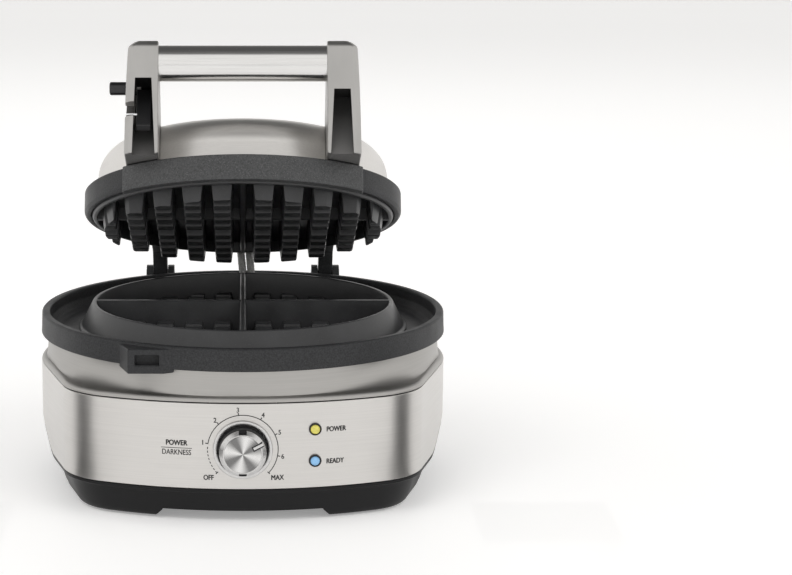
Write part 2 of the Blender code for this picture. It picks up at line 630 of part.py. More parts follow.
# ---- hinges --------------------------------------------------------------------------------
def hinges(b):
    """Brackets on the ring, pins, and the lid's arms that turn on the pins."""
    for tag, side in (("left", -1.0), ("right", 1.0)):
        cx = side * BRACKET_X
        foot_z = RING_TOP - 11.4
        outline = [
            (98.0, foot_z), (126.0, foot_z), (129.6, foot_z + 5.0), (129.6, HINGE_Z + 1.0),
            (126.0, HINGE_Z + 4.6), (118.5, HINGE_Z + 4.6), (113.5, HINGE_Z - 0.6), (98.0, HINGE_Z - 0.6),
        ]
        bracket = b.finish(f"hinge_bracket_{tag}", side_prism(outline, cx - 9.0, cx + 9.0), "cast_black")
        ring_r = RING_R + 0.5 + GAP
        seat_top = HINGE_Z + 9.0
        seat = turned([(0.0, foot_z - 9.0), (ring_r, foot_z - 9.0), (ring_r, seat_top), (0.0, seat_top)], 64)
        b.boolean(bracket, b.cutter(f"bracket_seat_{tag}", seat))
        gap = box(cx - 5.0, cx + 5.0, 90.0, 140.0, HINGE_Z - 7.4, HINGE_Z + 20.0)
        b.boolean(bracket, b.cutter(f"bracket_gap_{tag}", gap))
        bore = rod((cx - 12.0, HINGE_Y, HINGE_Z), (cx + 12.0, HINGE_Y, HINGE_Z), 2.5, 20)
        b.boolean(bracket, b.cutter(f"bracket_bore_{tag}", bore))
        pin = rod((cx - 9.4, HINGE_Y, HINGE_Z), (cx + 9.4, HINGE_Y, HINGE_Z), 2.2, 20)
        b.finish(f"hinge_pin_{tag}", pin, "zinc")
        knuckle = arc(HINGE_Y, HINGE_Z, 6.2, -110.0, 70.0, 8)
        arm_outline = knuckle + [
            (112.0, LID_RING_TOP - 4.0), (104.0, LID_RING_TOP - 1.0), (70.0, LID_RING_TOP - 1.0),
            (70.0, LID_RING_LOW + 1.0), (104.0, LID_RING_LOW), (112.0, RING_TOP + 2.2),
        ]
        arm = b.finish(f"lid_hinge_arm_{tag}", side_prism(arm_outline, cx - 4.6, cx + 4.6), "cast_black", b.lid)
        lid_r = LID_R + GAP
        rear = turned([(0.0, LID_RING_LOW - 9.0), (lid_r, LID_RING_LOW - 9.0), (lid_r, LID_RING_TOP + 9.0),
                       (0.0, LID_RING_TOP + 9.0)], 64)
        b.boolean(arm, b.cutter(f"arm_seat_{tag}", rear, b.lid))
        hole = rod((cx - 12.0, HINGE_Y, HINGE_Z), (cx + 12.0, HINGE_Y, HINGE_Z), 2.5, 20)
        b.boolean(arm, b.cutter(f"arm_bore_{tag}", hole, b.lid))


# ---- lid -----------------------------------------------------------------------------------
def lid_ring(b):
    low, top = LID_RING_LOW, LID_RING_TOP
    profile = [
        (LID_R, low), (LID_R, top - 0.8), (LID_R - 0.8, top), (84.0, top), (84.0, top - 3.0),
        (92.0, top - 3.0), (92.0, low - 1.8), (95.0, low - 1.8),
    ]
    ring = b.finish("lid_ring", turned(profile, 64), "cast_black", b.lid)
    half = math.degrees(math.asin(BOSS_HALF_WIDTH / BOSS_R))
    outer = arc(0.0, 0.0, BOSS_R, -90.0 - half, -90.0 + half, 20)
    inner_half = math.degrees(math.asin(BOSS_HALF_WIDTH / 94.0))
    inner = arc(0.0, 0.0, 94.0, -90.0 + inner_half, -90.0 - inner_half, 12)
    boss = prism(outer + inner, MATE_Z + GAP, MATE_Z + 15.2)
    b.boolean(ring, b.cutter("lid_boss", boss, b.lid), "UNION")


def dome_profile(grow):
    """Outer profile of the dome from its foot to its centre, grown outwards by grow."""
    points = [(DOME_R + grow, LID_RING_TOP + GAP)]
    centre_r = 88.2 - DOME_FILLET
    centre_z = DOME_TOP - DOME_FILLET
    for r, z in arc(centre_r, centre_z, DOME_FILLET + grow, 3.0, 86.0, 5):
        points.append((r, z))
    last_r, last_z = points[-1]
    for i in range(1, 3):
        r = last_r * (1.0 - i / 2.0)
        points.append((r, last_z + DOME_CROWN * (1.0 - (r / last_r) ** 2)))
    return points


def dome_cover(b):
    outer = dome_profile(0.0)
    inner = dome_profile(-SHEET)
    b.finish("dome_cover", turned(outer + inner[::-1], 48), "brushed_steel", b.lid)


def handle_arm(b, tag, side):
    """Deep cast fin from the lid ring up to the handle bar, with a wedge-shaped recess."""
    stations = [
        # height over the mating plane, front y, rear y, outer x
        (15.9, -99.0, -40.0, ARM_OUT_X + 0.6),
        (30.0, -102.0, -46.0, ARM_OUT_X + 0.2),
        (46.0, -105.0, -54.0, ARM_OUT_X - 0.2),
        (62.0, -106.5, -70.0, ARM_OUT_X - 0.8),
        (77.8, -107.5, -82.0, ARM_OUT_X - 1.6),
        (81.4, -104.5, -85.0, ARM_OUT_X - 5.0),
    ]
    loops = []
    for h, front, rear, out in stations:
        cut = 3.0
        plan = [(ARM_IN_X, front), (out - cut, front), (out, front + cut), (out, rear), (ARM_IN_X, rear)]
        loops.append([(side * x, y, MATE_Z + h) for x, y in plan])
    arm = b.finish(f"handle_arm_{tag}", loops_to_bmesh(loops), "satin_cast", b.lid)
    dome = [(0.0, LID_RING_TOP - 6.0), (DOME_R + 0.35, LID_RING_TOP - 6.0)]
    dome += dome_profile(0.35)
    b.boolean(arm, b.cutter(f"arm_dome_{tag}", turned(dome, 72), b.lid))
    x_mid = side * abs(LATCH_X)
    if side < 0:
        top_h, floor = 58.7, ((-94.6, 15.0), (-69.0, 58.7))
    else:
        top_h, floor = 52.3, ((-97.6, 15.0), (-88.0, 43.0))
    wide_low, wide_high = 6.6, 4.7
    (y0, h0), (y1, h1) = floor
    outline = [(-120.0, h0), (y0, h0), (y1, h1)]
    if h1 < top_h:
        outline.append((y1, top_h))
    outline.append((-120.0, top_h))
    loops = []
    for face in (-1.0, 1.0):
        loop = []
        for y, h in outline:
            share = (h - h0) / (top_h - h0)
            half = wide_low + (wide_high - wide_low) * share
            loop.append((x_mid + face * half, y, MATE_Z + h))
        loops.append(loop)
    b.boolean(arm, b.cutter(f"arm_recess_{tag}", loops_to_bmesh(loops), b.lid))
    seat = rod((side * 40.0, BAR_Y, BAR_Z), (side * 52.0, BAR_Y, BAR_Z), BAR_R + GAP, 32)
    b.boolean(arm, b.cutter(f"bar_seat_{tag}", seat, b.lid))
    hole = rod((side * 50.0, BAR_Y, BAR_Z), (side * 60.0, BAR_Y, BAR_Z), 3.3, 16)
    b.boolean(arm, b.cutter(f"rod_hole_{tag}", hole, b.lid))
    return arm


def handle(b):
    for tag, side in (("left", -1.0), ("right", 1.0)):
        handle_arm(b, tag, side)
    bar = rod((-51.7, BAR_Y, BAR_Z), (51.7, BAR_Y, BAR_Z), BAR_R, 40)
    tube = b.finish("handle_bar", bar, "polished", b.lid)
    bore = rod((-60.0, BAR_Y, BAR_Z), (60.0, BAR_Y, BAR_Z), 8.6, 32)
    b.boolean(tube, b.cutter("bar_bore", bore, b.lid))
    b.finish("handle_rod", rod((-59.5, BAR_Y, BAR_Z), (59.5, BAR_Y, BAR_Z), 3.0, 16), "zinc", b.lid)


# ---- latch ---------------------------------------------------------------------------------
def latch(b):
    """Slider in the left arm's recess; the thumb peg sticks out through a slot."""
    anchor = Vector(b.latch["anchor_mm"])
    back = Vector((0.0, LATCH_DIR.z, -LATCH_DIR.y))
    if back.y < 0.0:
        back = -back
    foot = anchor + LATCH_DIR * 33.0
    half, thick = 4.3, 4.6
    top = anchor + LATCH_DIR * 3.0

    def section(point):
        corners = []
        for sx, sb in ((-1, 0), (1, 0), (1, 1), (-1, 1)):
            corners.append(point + Vector((sx * half, 0, 0)) + back * (sb * thick))
        return corners

    b.finish("latch_slider", loops_to_bmesh([section(top), section(foot)]), "black_plastic", b.latch)
    centre = anchor + back * (thick / 2.0)
    peg = rod((LATCH_X - half - GAP, centre.y, centre.z), (-77.5, centre.y, centre.z), PEG_R, 24, 1.0)
    b.finish("latch_peg", peg, "black_plastic", b.latch)
    arm = bpy.data.objects["handle_arm_left"]
    slot_start = centre - LATCH_DIR * 0.3
    slot_end = centre + LATCH_DIR * (LATCH_TRAVEL + 0.3)
    r = PEG_R + 0.4
    along = math.degrees(math.atan2(LATCH_DIR.z, LATCH_DIR.y))
    outline = arc(slot_start.y, slot_start.z, r, along + 90.0, along + 270.0, 8)
    outline += arc(slot_end.y, slot_end.z, r, along - 90.0, along + 90.0, 8)
    slot = side_prism(outline, -75.0, LATCH_X - 2.0)
    b.boolean(arm, b.cutter("latch_slot", slot, b.lid))
    mouth = side_prism([(-115.0, MATE_Z + 37.4), (-93.0, MATE_Z + 36.8), (-93.0, MATE_Z + 44.8),
                        (-115.0, MATE_Z + 45.2)], -75.0, LATCH_X - 2.0)
    b.boolean(arm, b.cutter("latch_notch", mouth, b.lid))
    wire = rod((-66.8, -101.4, MATE_Z + 38.3), (-60.5, -101.4, MATE_Z + 38.2), 0.8, 10)
    b.finish("latch_detent", wire, "spring_steel", b.lid)


# ---- lid internals, loom -------------------------------------------------------------------
def lid_internals(b):
    heater(b, "upper_element", MATE_Z + 11.0 + GAP + 3.9, b.lid)
    reflector(b, "upper_reflector", MATE_Z + 25.0, MATE_Z + 21.0, b.lid)
    fuse = rod((-12.0, -20.0, MATE_Z + 14.2), (12.0, -20.0, MATE_Z + 14.2), 2.4, 12)
    b.finish("lid_thermal_fuse", fuse, "zinc", b.lid)


def loom(b):
    """Two glass-fibre sleeves that carry the lid heater's wires over the hinge line."""
    lid_turn = Matrix.Translation(Vector((0, HINGE_Y, HINGE_Z)))
    lid_turn = lid_turn @ Matrix.Rotation(math.radians(-LID_OPEN_DEG), 4, "X")
    lid_turn = lid_turn @ Matrix.Translation(-Vector((0, HINGE_Y, HINGE_Z)))
    for tag, x in (("left", -2.0), ("right", 3.4)):
        low = Vector((x + 3.0, 106.5, RING_TOP - 10.0))
        high = lid_turn @ Vector((x, 98.0, LID_RING_LOW + 6.0))
        bend = Vector((x + 1.5, 113.5, RING_TOP + 6.0))
        points = []
        for i in range(9):
            t = i / 8.0
            points.append(low * (1 - t) ** 2 + bend * 2 * t * (1 - t) + high * t ** 2)
        curve = bpy.data.curves.new(f"wire_sleeve_{tag}", "CURVE")
        curve.dimensions = "3D"
        spline = curve.splines.new("POLY")
        spline.points.add(len(points) - 1)
        for point, co in zip(spline.points, points):
            point.co = (*(co * MM), 1.0)
        curve.bevel_depth = 2.4 * MM
        curve.bevel_resolution = 2
        curve.use_fill_caps = True
        obj = bpy.data.objects.new(f"wire_sleeve_{tag}", curve)
        bpy.context.scene.collection.objects.link(obj)
        curve.materials.append(b.mats["glass_sleeve"])


def clear_scene():
    for obj in list(bpy.data.objects):
        bpy.data.objects.remove(obj, do_unlink=True)


def main():
    clear_scene()
    b = Builder()
    b.lid = joint_empty("lid_joint", (0.0, HINGE_Y, HINGE_Z), -LID_OPEN_DEG)
    b.knob = joint_empty("knob_joint", (0.0, FRONT_Y, DIAL_Z))
    b.latch = joint_empty("latch_joint", (LATCH_X, LATCH_Y, MATE_Z + PEG_H), 0.0, b.lid)
    base_tray(b)
    foot_pads(b)
    base_screws(b)
    steel_wrap(b)
    rear_panel(b)
    shoulder_shell(b)
    moat_ring(b)
    lower_plate(b)
    heater(b, "lower_element", MATE_Z - 20.8 - 3.0 - GAP - 3.9)
    reflector(b, "lower_reflector", MATE_Z - 38.0, MATE_Z - 34.0)
    dial_and_lamps(b)
    knob(b)
    inner_parts(b)
    hinges(b)
    lid_ring(b)
    dome_cover(b)
    upper_plate(b)
    lid_internals(b)
    handle(b)
    latch(b)
    loom(b)


main()
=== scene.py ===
"""Looks of a round waffle maker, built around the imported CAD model.

Sizes are written in millimetres and become metres where a mesh is made. Pieces on the lid are drawn
closed and turned open about the hinge, so their textures stay square to the lid.
"""
import json
import math

import bmesh
import bpy
from mathutils import Matrix, Vector


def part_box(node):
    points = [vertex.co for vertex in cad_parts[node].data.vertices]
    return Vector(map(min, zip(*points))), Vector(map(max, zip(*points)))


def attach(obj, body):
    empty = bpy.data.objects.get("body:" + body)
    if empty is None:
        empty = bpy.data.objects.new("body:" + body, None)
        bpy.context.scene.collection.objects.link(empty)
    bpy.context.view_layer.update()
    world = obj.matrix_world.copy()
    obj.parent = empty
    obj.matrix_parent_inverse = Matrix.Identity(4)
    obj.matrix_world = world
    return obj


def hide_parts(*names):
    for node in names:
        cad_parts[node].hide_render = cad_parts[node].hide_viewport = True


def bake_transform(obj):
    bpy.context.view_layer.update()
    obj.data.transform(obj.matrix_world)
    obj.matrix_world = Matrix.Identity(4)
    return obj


MM = 0.001
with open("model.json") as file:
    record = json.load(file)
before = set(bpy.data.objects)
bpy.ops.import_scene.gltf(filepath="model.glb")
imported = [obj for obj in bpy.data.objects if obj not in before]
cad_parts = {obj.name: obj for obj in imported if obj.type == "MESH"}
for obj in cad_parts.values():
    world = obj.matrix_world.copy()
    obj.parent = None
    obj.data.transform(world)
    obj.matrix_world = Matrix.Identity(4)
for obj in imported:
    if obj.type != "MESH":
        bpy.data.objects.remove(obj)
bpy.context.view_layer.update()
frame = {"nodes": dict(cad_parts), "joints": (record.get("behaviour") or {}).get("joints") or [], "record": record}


def corner(node, which, axis):
    """One coordinate of a CAD node's box, in millimetres."""
    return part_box(node)[which]["xyz".index(axis)] / MM


JOINTS = {joint["name"]: joint for joint in frame["joints"]}
HINGE = Vector(JOINTS["lid_hinge"]["pos_m"]) / MM
LID_OPEN_DEG = -JOINTS["lid_hinge"]["range_deg"][0]
DIAL = Vector(JOINTS["knob_turn"]["pos_m"]) / MM
KNOB_ON_DEG = 62.0

# ---- sizes read from the frame, and the few that shape the pieces between them ---------------
GAP = 0.3
SHEET = 1.0
FRONT_Y = DIAL.y
RING_TOP = corner("moat_ring", 1, "z")
RING_R = 121.7
RING_HEIGHT = 13.2
MOAT_R = 117.0
MATE_Z = RING_TOP + 4.3
SEAM_Z = RING_TOP - 31.4
WRAP_LOW_Z = RING_TOP - 81.4
SIDE_RISE = 17.0
BODY_HALF_WIDTH = corner("steel_wrap", 1, "x")
FRONT_ARC_R = 196.0
CORNER_R = 42.0
SIDE_ARC_R = 75.0
SIDE_TILT_DEG = 15.0
REAR_HALF = 46.0
BRACKET_X = 54.0
LID_R = 96.3
LID_RING_LOW = MATE_Z + 3.5
LID_RING_TOP = MATE_Z + 15.6
BOSS_R = 100.3
BOSS_HALF_WIDTH = 70.0
DOME_R = 89.8
DOME_TOP = MATE_Z + 44.5
DOME_FILLET = 20.0
DOME_CROWN = 2.0
TOOTH_PITCH = 17.3
TOOTH_FIRST = 12.1
TOOTH_ROWS = 5
TOOTH_BASE = 13.2
TOOTH_TIP = 9.8
DIVIDER_REACH = 89.0
ARM_IN_X = 48.4
ARM_OUT_X = 67.6
BAR_R = 10.6
BAR_Y = -95.0
BAR_Z = MATE_Z + 70.5
LAMP_X = 41.0
LAMP_Z = (corner("power_lens", 0, "z") + 2.6, corner("ready_lens", 0, "z") + 2.6)
KNOB_R = 13.3
LATCH_X = -57.0
LATCH_DIR = Vector((0.0, -0.51, -0.86)).normalized()
LATCH_ANCHOR = Vector((LATCH_X, -84.0, MATE_Z + 60.4))
LATCH_TRAVEL = 24.0
PEG_R = 3.9
ARCH_H = 6.3
SCREW_SEAT = 8.3
GLAND_Z = 38.0
GLAND_R = 6.0
DIAL_ARC_R = 20.0

INK = 0.05                   # thickness of the print
RECESS_LOW_H = 15.0          # the arms' recesses start this high over the mating plane

HINGE_LINE = Matrix.Translation(HINGE * MM)
LID_TURN = HINGE_LINE @ Matrix.Rotation(math.radians(-LID_OPEN_DEG), 4, "X") @ HINGE_LINE.inverted()


# ---- materials -------------------------------------------------------------------------------
class Paint:
    """A Principled material whose colour, roughness and bump come from noise in object space."""

    def __init__(self, name, color, roughness, metallic=0.0, slot=None):
        self.mat = bpy.data.materials.new(name)
        self.mat.use_nodes = True
        self.slot = slot or name
        self.tree = self.mat.node_tree
        self.shader = self.tree.nodes["Principled BSDF"]
        self.color = color
        self.shader.inputs["Base Color"].default_value = (*color, 1.0)
        self.shader.inputs["Roughness"].default_value = roughness
        self.shader.inputs["Metallic"].default_value = metallic
        self.height = None
        self.place = self.tree.nodes.new("ShaderNodeTexCoord").outputs["Object"]

    def value(self, name, number):
        self.shader.inputs[name].default_value = number
        return self

    def node(self, kind, **inputs):
        made = self.tree.nodes.new(kind)
        for key, given in inputs.items():
            socket = made.inputs[key.replace("_", " ")]
            if isinstance(given, bpy.types.NodeSocket):
                self.tree.links.new(given, socket)
            else:
                socket.default_value = given
        return made

    def noise(self, size_mm, detail=3.0, roughness=0.5):
        """Noise whose grain is size_mm long along X, Y and Z."""
        scale = [1.0 / (s * MM) for s in size_mm]
        mapping = self.node("ShaderNodeMapping", Vector=self.place, Scale=scale)
        made = self.node("ShaderNodeTexNoise", Vector=mapping.outputs["Vector"], Scale=1.0,
                         Detail=detail, Roughness=roughness)
        return made.outputs["Fac"]

    def ramp(self, fac, low, high, start, end):
        """Maps fac from low..high to start..end, held at both ends."""
        made = self.node("ShaderNodeMapRange", Value=fac)
        for key, number in zip((1, 2, 3, 4), (low, high, start, end)):
            made.inputs[key].default_value = number
        return made.outputs["Result"]

    def rough(self, fac, low, high):
        """Roughness that runs between two values with a noise."""
        self.tree.links.new(self.ramp(fac, 0.3, 0.7, low, high), self.shader.inputs["Roughness"])
        return self

    def tone(self, fac, dark, light, low=0.3, high=0.7):
        """Base colour that runs between two shades with a noise."""
        mix = self.tree.nodes.new("ShaderNodeMix")
        mix.data_type = "RGBA"
        self.tree.links.new(self.ramp(fac, low, high, 0.0, 1.0), mix.inputs[0])
        mix.inputs[6].default_value = (*[c * dark for c in self.color], 1.0)
        mix.inputs[7].default_value = (*[min(c * light, 1.0) for c in self.color], 1.0)
        self.tree.links.new(mix.outputs[2], self.shader.inputs["Base Color"])
        return self

    def speckle(self, size_mm, share, shade):
        """Small flecks of another shade, over a share of the surface."""
        spots = self.node("ShaderNodeTexVoronoi", Vector=self.place, Scale=1.0 / (size_mm * MM))
        fac = self.ramp(spots.outputs["Distance"], share, share + 0.1, 1.0, 0.0)
        link = self.shader.inputs["Base Color"].links
        under = link[0].from_socket if link else None
        mix = self.tree.nodes.new("ShaderNodeMix")
        mix.data_type = "RGBA"
        self.tree.links.new(fac, mix.inputs[0])
        if under:
            self.tree.links.new(under, mix.inputs[6])
        else:
            mix.inputs[6].default_value = (*self.color, 1.0)
        mix.inputs[7].default_value = (*shade, 1.0)
        self.tree.links.new(mix.outputs[2], self.shader.inputs["Base Color"])
        return self

    def bump(self, fac, depth_mm, strength=1.0):
        made = self.node("ShaderNodeBump", Strength=strength, Distance=depth_mm * MM, Height=fac)
        if self.height:
            self.tree.links.new(self.height, made.inputs["Normal"])
        self.height = made.outputs["Normal"]
        self.tree.links.new(self.height, self.shader.inputs["Normal"])
        return self


def brushed(name, streak_mm, grain_mm, color=(0.63, 0.615, 0.595), roughness=(0.31, 0.37)):
    """Sheet steel brushed along X and Y round the body: long streaks, thin across."""
    paint = Paint(name, color, 0.3, 1.0, "brushed_steel")
    streaks = paint.noise(streak_mm, 2.0, 0.6)
    grain = paint.noise(grain_mm, 2.0, 0.7)
    cloud = paint.noise((60.0, 60.0, 60.0), 2.0)
    paint.tone(streaks, 0.965, 1.03)
    paint.rough(cloud, *roughness)
    paint.bump(streaks, 0.0035)
    paint.bump(grain, 0.003)
    return paint


def cast_coat(name, color, roughness, grain=0.9, depth=0.09, fleck=None):
    """Textured coating on a casting."""
    paint = Paint(name, color, roughness, 0.0, "cast_black")
    grains = paint.noise((grain, grain, grain), 2.0, 0.6)
    cloud = paint.noise((30.0, 30.0, 30.0), 3.0)
    paint.tone(grains, 0.6, 1.5)
    if fleck:
        paint.speckle(1.1, 0.13, fleck)
    paint.rough(cloud, roughness - 0.06, roughness + 0.08)
    paint.bump(grains, depth)
    return paint


def grained(key, color, metallic, size_mm, detail, tones, roughness, depth_mm=0.0, name=None, slot=None):
    """A material whose tone, roughness and bump all follow one noise."""
    paint = Paint(name or key, color, sum(roughness) / 2.0, metallic, slot)
    size_mm = size_mm if isinstance(size_mm, tuple) else (size_mm, size_mm, size_mm)
    fac = paint.noise(size_mm, detail)
    paint.tone(fac, *tones)
    paint.rough(fac, *roughness)
    if depth_mm > 0.0:
        paint.bump(fac, depth_mm)
    return paint


def moulded(name, color, specular):
    """Black moulded plastic with a fine grain."""
    paint = Paint(name, color, 0.42, 0.0, "black_plastic").value("Specular IOR Level", specular)
    grain = paint.noise((0.7, 0.7, 0.7), 2.0)
    cloud = paint.noise((40.0, 40.0, 40.0), 3.0)
    paint.tone(cloud, 0.85, 1.2)
    paint.rough(cloud, 0.36, 0.50)
    paint.bump(grain, 0.03)
    return paint


def nonstick():
    """Grey-black cooking surface with small flecks."""
    paint = Paint("nonstick", (0.030, 0.0305, 0.032), 0.36).value("Specular IOR Level", 0.45)
    grain = paint.noise((0.8, 0.8, 0.8), 2.0)
    cloud = paint.noise((22.0, 22.0, 22.0), 4.0)
    paint.tone(cloud, 0.75, 1.35)
    paint.speckle(1.3, 0.08, (0.06, 0.06, 0.062))
    paint.rough(cloud, 0.30, 0.44)
    paint.bump(grain, 0.03)
    return paint


def satin_cast():
    """Satin grey die-casting of the handle arms."""
    paint = Paint("satin_cast", (0.44, 0.432, 0.42), 0.40, 1.0)
    grain = paint.noise((0.6, 0.6, 0.6), 3.0)
    cloud = paint.noise((18.0, 18.0, 30.0), 3.0)
    paint.tone(cloud, 0.93, 1.07)
    paint.rough(cloud, 0.38, 0.47)
    paint.bump(grain, 0.012)
    return paint


def recess_cast_painted_shade():
    """The same casting deep in an arm's recess, with painted shade: near black at the top, grey at the foot."""
    paint = Paint("recess_cast_painted_shade", (0.30, 0.295, 0.29), 0.5, 0.4, "satin_cast").value("Specular IOR Level", 0.2)
    apart = paint.node("ShaderNodeSeparateXYZ", Vector=paint.place)
    # painted shade: the colour darkens from the foot of the recess up to its top
    paint.tone(apart.outputs["Z"], 0.03, 0.55, (MATE_Z + 60.0) * MM, (MATE_Z + 12.0) * MM)
    grain = paint.noise((0.6, 0.6, 0.6), 3.0)
    paint.rough(grain, 0.45, 0.58)
    paint.bump(grain, 0.012)
    return paint


def worn_metal(key, color, roughness):
    """Plain metal of the small fittings, with a cloudy surface."""
    paint = Paint(key, color, roughness, 1.0)
    cloud = paint.noise((5.0, 5.0, 5.0), 4.0)
    paint.tone(cloud, 0.88, 1.08)
    paint.rough(cloud, roughness - 0.05, roughness + 0.08)
    paint.bump(paint.noise((0.5, 0.5, 0.5), 2.0), 0.01)
    return paint


def make_paints():
    p = {}
    round_streaks, round_grain = (60.0, 60.0, 0.7), (20.0, 20.0, 0.3)
    p["wrap"] = brushed("wrap_steel", round_streaks, round_grain)
    # painted light: the dome is the wrap's brushed steel made lighter
    p["dome"] = brushed("dome_steel_painted_light", (60.0, 0.7, 0.7), (20.0, 0.3, 0.3), (0.68, 0.665, 0.645), (0.34, 0.40))
    # painted shade: the shoulder is the wrap's brushed steel made darker, standing in for the dark ring and floor
    # it reflects
    p["shoulder"] = brushed("shoulder_steel_painted_shade", round_streaks, round_grain, (0.42, 0.41, 0.395), (0.40, 0.46))
    p["ring"] = cast_coat("ring_coat", (0.022, 0.0225, 0.024), 0.47).value("Specular IOR Level", 0.3)
    p["boss"] = cast_coat("boss_coat", (0.040, 0.041, 0.042), 0.52, 1.0, 0.12, (0.11, 0.11, 0.115))
    p["hinge"] = cast_coat("hinge_coat", (0.026, 0.027, 0.028), 0.5, 0.7, 0.05)
    p["hinge"].value("Specular IOR Level", 0.35)
    p["plate"] = nonstick()
    p["cast"] = satin_cast()
    p["hollow"] = recess_cast_painted_shade()
    p["spun"] = spun_metal_painted_fans()
    p["black"] = moulded("moulded_black", (0.014, 0.014, 0.015), 0.5)
    p["tray"] = moulded("tray_black", (0.006, 0.006, 0.0065), 0.22)
    p["bar"] = grained("bar", (0.72, 0.715, 0.705), 1.0, (30.0, 0.5, 0.5), 2.0, (0.95, 1.04), (0.11, 0.19),
                       0.002, "bar_metal", "polished_metal")
    p["rim"] = grained("rim", (0.62, 0.615, 0.61), 1.0, 1.5, 3.0, (0.95, 1.04), (0.26, 0.36), 0.003,
                       "rim_metal", "polished_metal")
    p["gloss"] = grained("gloss", (0.010, 0.010, 0.011), 0.0, 6.0, 3.0, (0.9, 1.15), (0.18, 0.28), 0.01,
                         "gloss_black", "black_plastic")
    p["ink"] = grained("ink", (0.012, 0.012, 0.012), 0.0, 1.5, 2.0, (0.8, 1.3), (0.5, 0.6),
                       slot="black_plastic")
    p["rubber"] = grained("rubber", (0.018, 0.018, 0.018), 0.0, 0.5, 2.0, (0.8, 1.3), (0.74, 0.86), 0.03)
    for key, color, roughness in (
        ("pale_plastic", (0.7, 0.69, 0.65), (0.40, 0.52)),
        ("circuit_board", (0.03, 0.17, 0.07), (0.27, 0.39)),
    ):
        p[key] = grained(key, color, 0.0, 4.0, 3.0, (0.92, 1.06), roughness, 0.01)
    p["glass_sleeve"] = grained("glass_sleeve", (0.50, 0.50, 0.49), 0.0, (0.35, 0.35, 2.5), 3.0, (0.6, 1.35),
                                (0.5, 0.72), 0.05)
    p["zinc"] = worn_metal("zinc", (0.60, 0.61, 0.63), 0.34)
    p["spring_steel"] = worn_metal("spring_steel", (0.82, 0.83, 0.84), 0.18)
    p["heater_steel"] = worn_metal("heater_steel", (0.33, 0.30, 0.27), 0.46)
    p["brass"] = worn_metal("brass", (0.72, 0.56, 0.25), 0.3)
    p["amber_lens"] = lens_paint("amber_lens", (0.62, 0.56, 0.10))
    p["blue_lens"] = lens_paint("blue_lens", (0.20, 0.42, 0.68))
    return p


def spun_metal_painted_fans():
    """Lathe-turned face: fine rings round the dial's middle, and a painted reflection across them: the colour runs
    lighter and darker in fans round the middle.
    """
    paint = Paint("spun_metal_painted_fans", (0.66, 0.655, 0.65), 0.26, 1.0, "polished_metal")
    paint.value("Anisotropic", 0.85)
    tangent = paint.tree.nodes.new("ShaderNodeTangent")
    tangent.direction_type = "RADIAL"
    tangent.axis = "Y"
    paint.tree.links.new(tangent.outputs[0], paint.shader.inputs["Tangent"])
    apart = paint.node("ShaderNodeSeparateXYZ", Vector=paint.place)
    height = paint.node("ShaderNodeMath")
    height.operation = "SUBTRACT"
    paint.tree.links.new(apart.outputs["Z"], height.inputs[0])
    height.inputs[1].default_value = DIAL.z * MM
    flat = paint.node("ShaderNodeCombineXYZ", X=apart.outputs["X"], Y=height.outputs[0])
    radius = paint.node("ShaderNodeVectorMath", Vector=flat.outputs[0])
    radius.operation = "LENGTH"
    rings = paint.node("ShaderNodeTexNoise", Scale=4000.0, Detail=2.0)
    rings.noise_dimensions = "1D"
    paint.tree.links.new(radius.outputs["Value"], rings.inputs["W"])
    # painted reflection: the colour swings between light and dark in fans by the angle round the dial's middle
    bearing = paint.node("ShaderNodeMath")
    bearing.operation = "ARCTAN2"
    paint.tree.links.new(height.outputs[0], bearing.inputs[0])
    paint.tree.links.new(apart.outputs["X"], bearing.inputs[1])
    painted_reflection_fans = paint.node("ShaderNodeMath")
    painted_reflection_fans.operation = "COSINE"
    swing = paint.node("ShaderNodeMath")
    swing.operation = "MULTIPLY_ADD"
    swing.inputs[1].default_value = 4.0
    swing.inputs[2].default_value = 0.9
    paint.tree.links.new(bearing.outputs[0], swing.inputs[0])
    paint.tree.links.new(swing.outputs[0], painted_reflection_fans.inputs[0])
    paint.tone(painted_reflection_fans.outputs[0], 0.30, 1.12, -0.8, 1.0)
    paint.rough(rings.outputs["Fac"], 0.20, 0.32)
    paint.bump(rings.outputs["Fac"], 0.006)
    return paint


def lens_paint(key, color):
    """Tinted plastic lens with a clear surface and a faint glow."""
    paint = grained(key, color, 0.0, 1.6, 2.0, (0.86, 1.12), (0.14, 0.24), 0.02)
    paint.value("Coat Weight", 0.8)
    paint.value("Coat Roughness", 0.06)
    paint.value("Emission Color", (*color, 1.0))
    paint.value("Emission Strength", 0.06)
    return paint


PAINTS = make_paints()


# ---- mesh helpers ------------------------------------------------------------------------------
def arc(cx, cy, radius, start_deg, end_deg, steps):
    """Points on an arc, both ends included."""
    points = []
    for i in range(steps + 1):
        angle = math.radians(start_deg + (end_deg - start_deg) * i / steps)
        points.append((cx + radius * math.cos(angle), cy + radius * math.sin(angle)))
    return points


def soften(points, radius, steps=3):
    """Rounds the corners of a closed outline, no further than a third of each side."""
    result = []
    count = len(points)
    for i in range(count):
        here = Vector(points[i])
        before = Vector(points[i - 1]) - here
        after = Vector(points[(i + 1) % count]) - here
        if abs(here.x) < 1e-6 or before.angle(-after, 0.0) < math.radians(12.0):
            result.append(tuple(here))
            continue
        reach = min(radius, before.length / 3.0, after.length / 3.0)
        a = here + before.normalized() * reach
        c = here + after.normalized() * reach
        for k in range(steps + 1):
            t = k / steps
            result.append(tuple(a * (1 - t) ** 2 + here * 2 * t * (1 - t) + c * t ** 2))
    return result


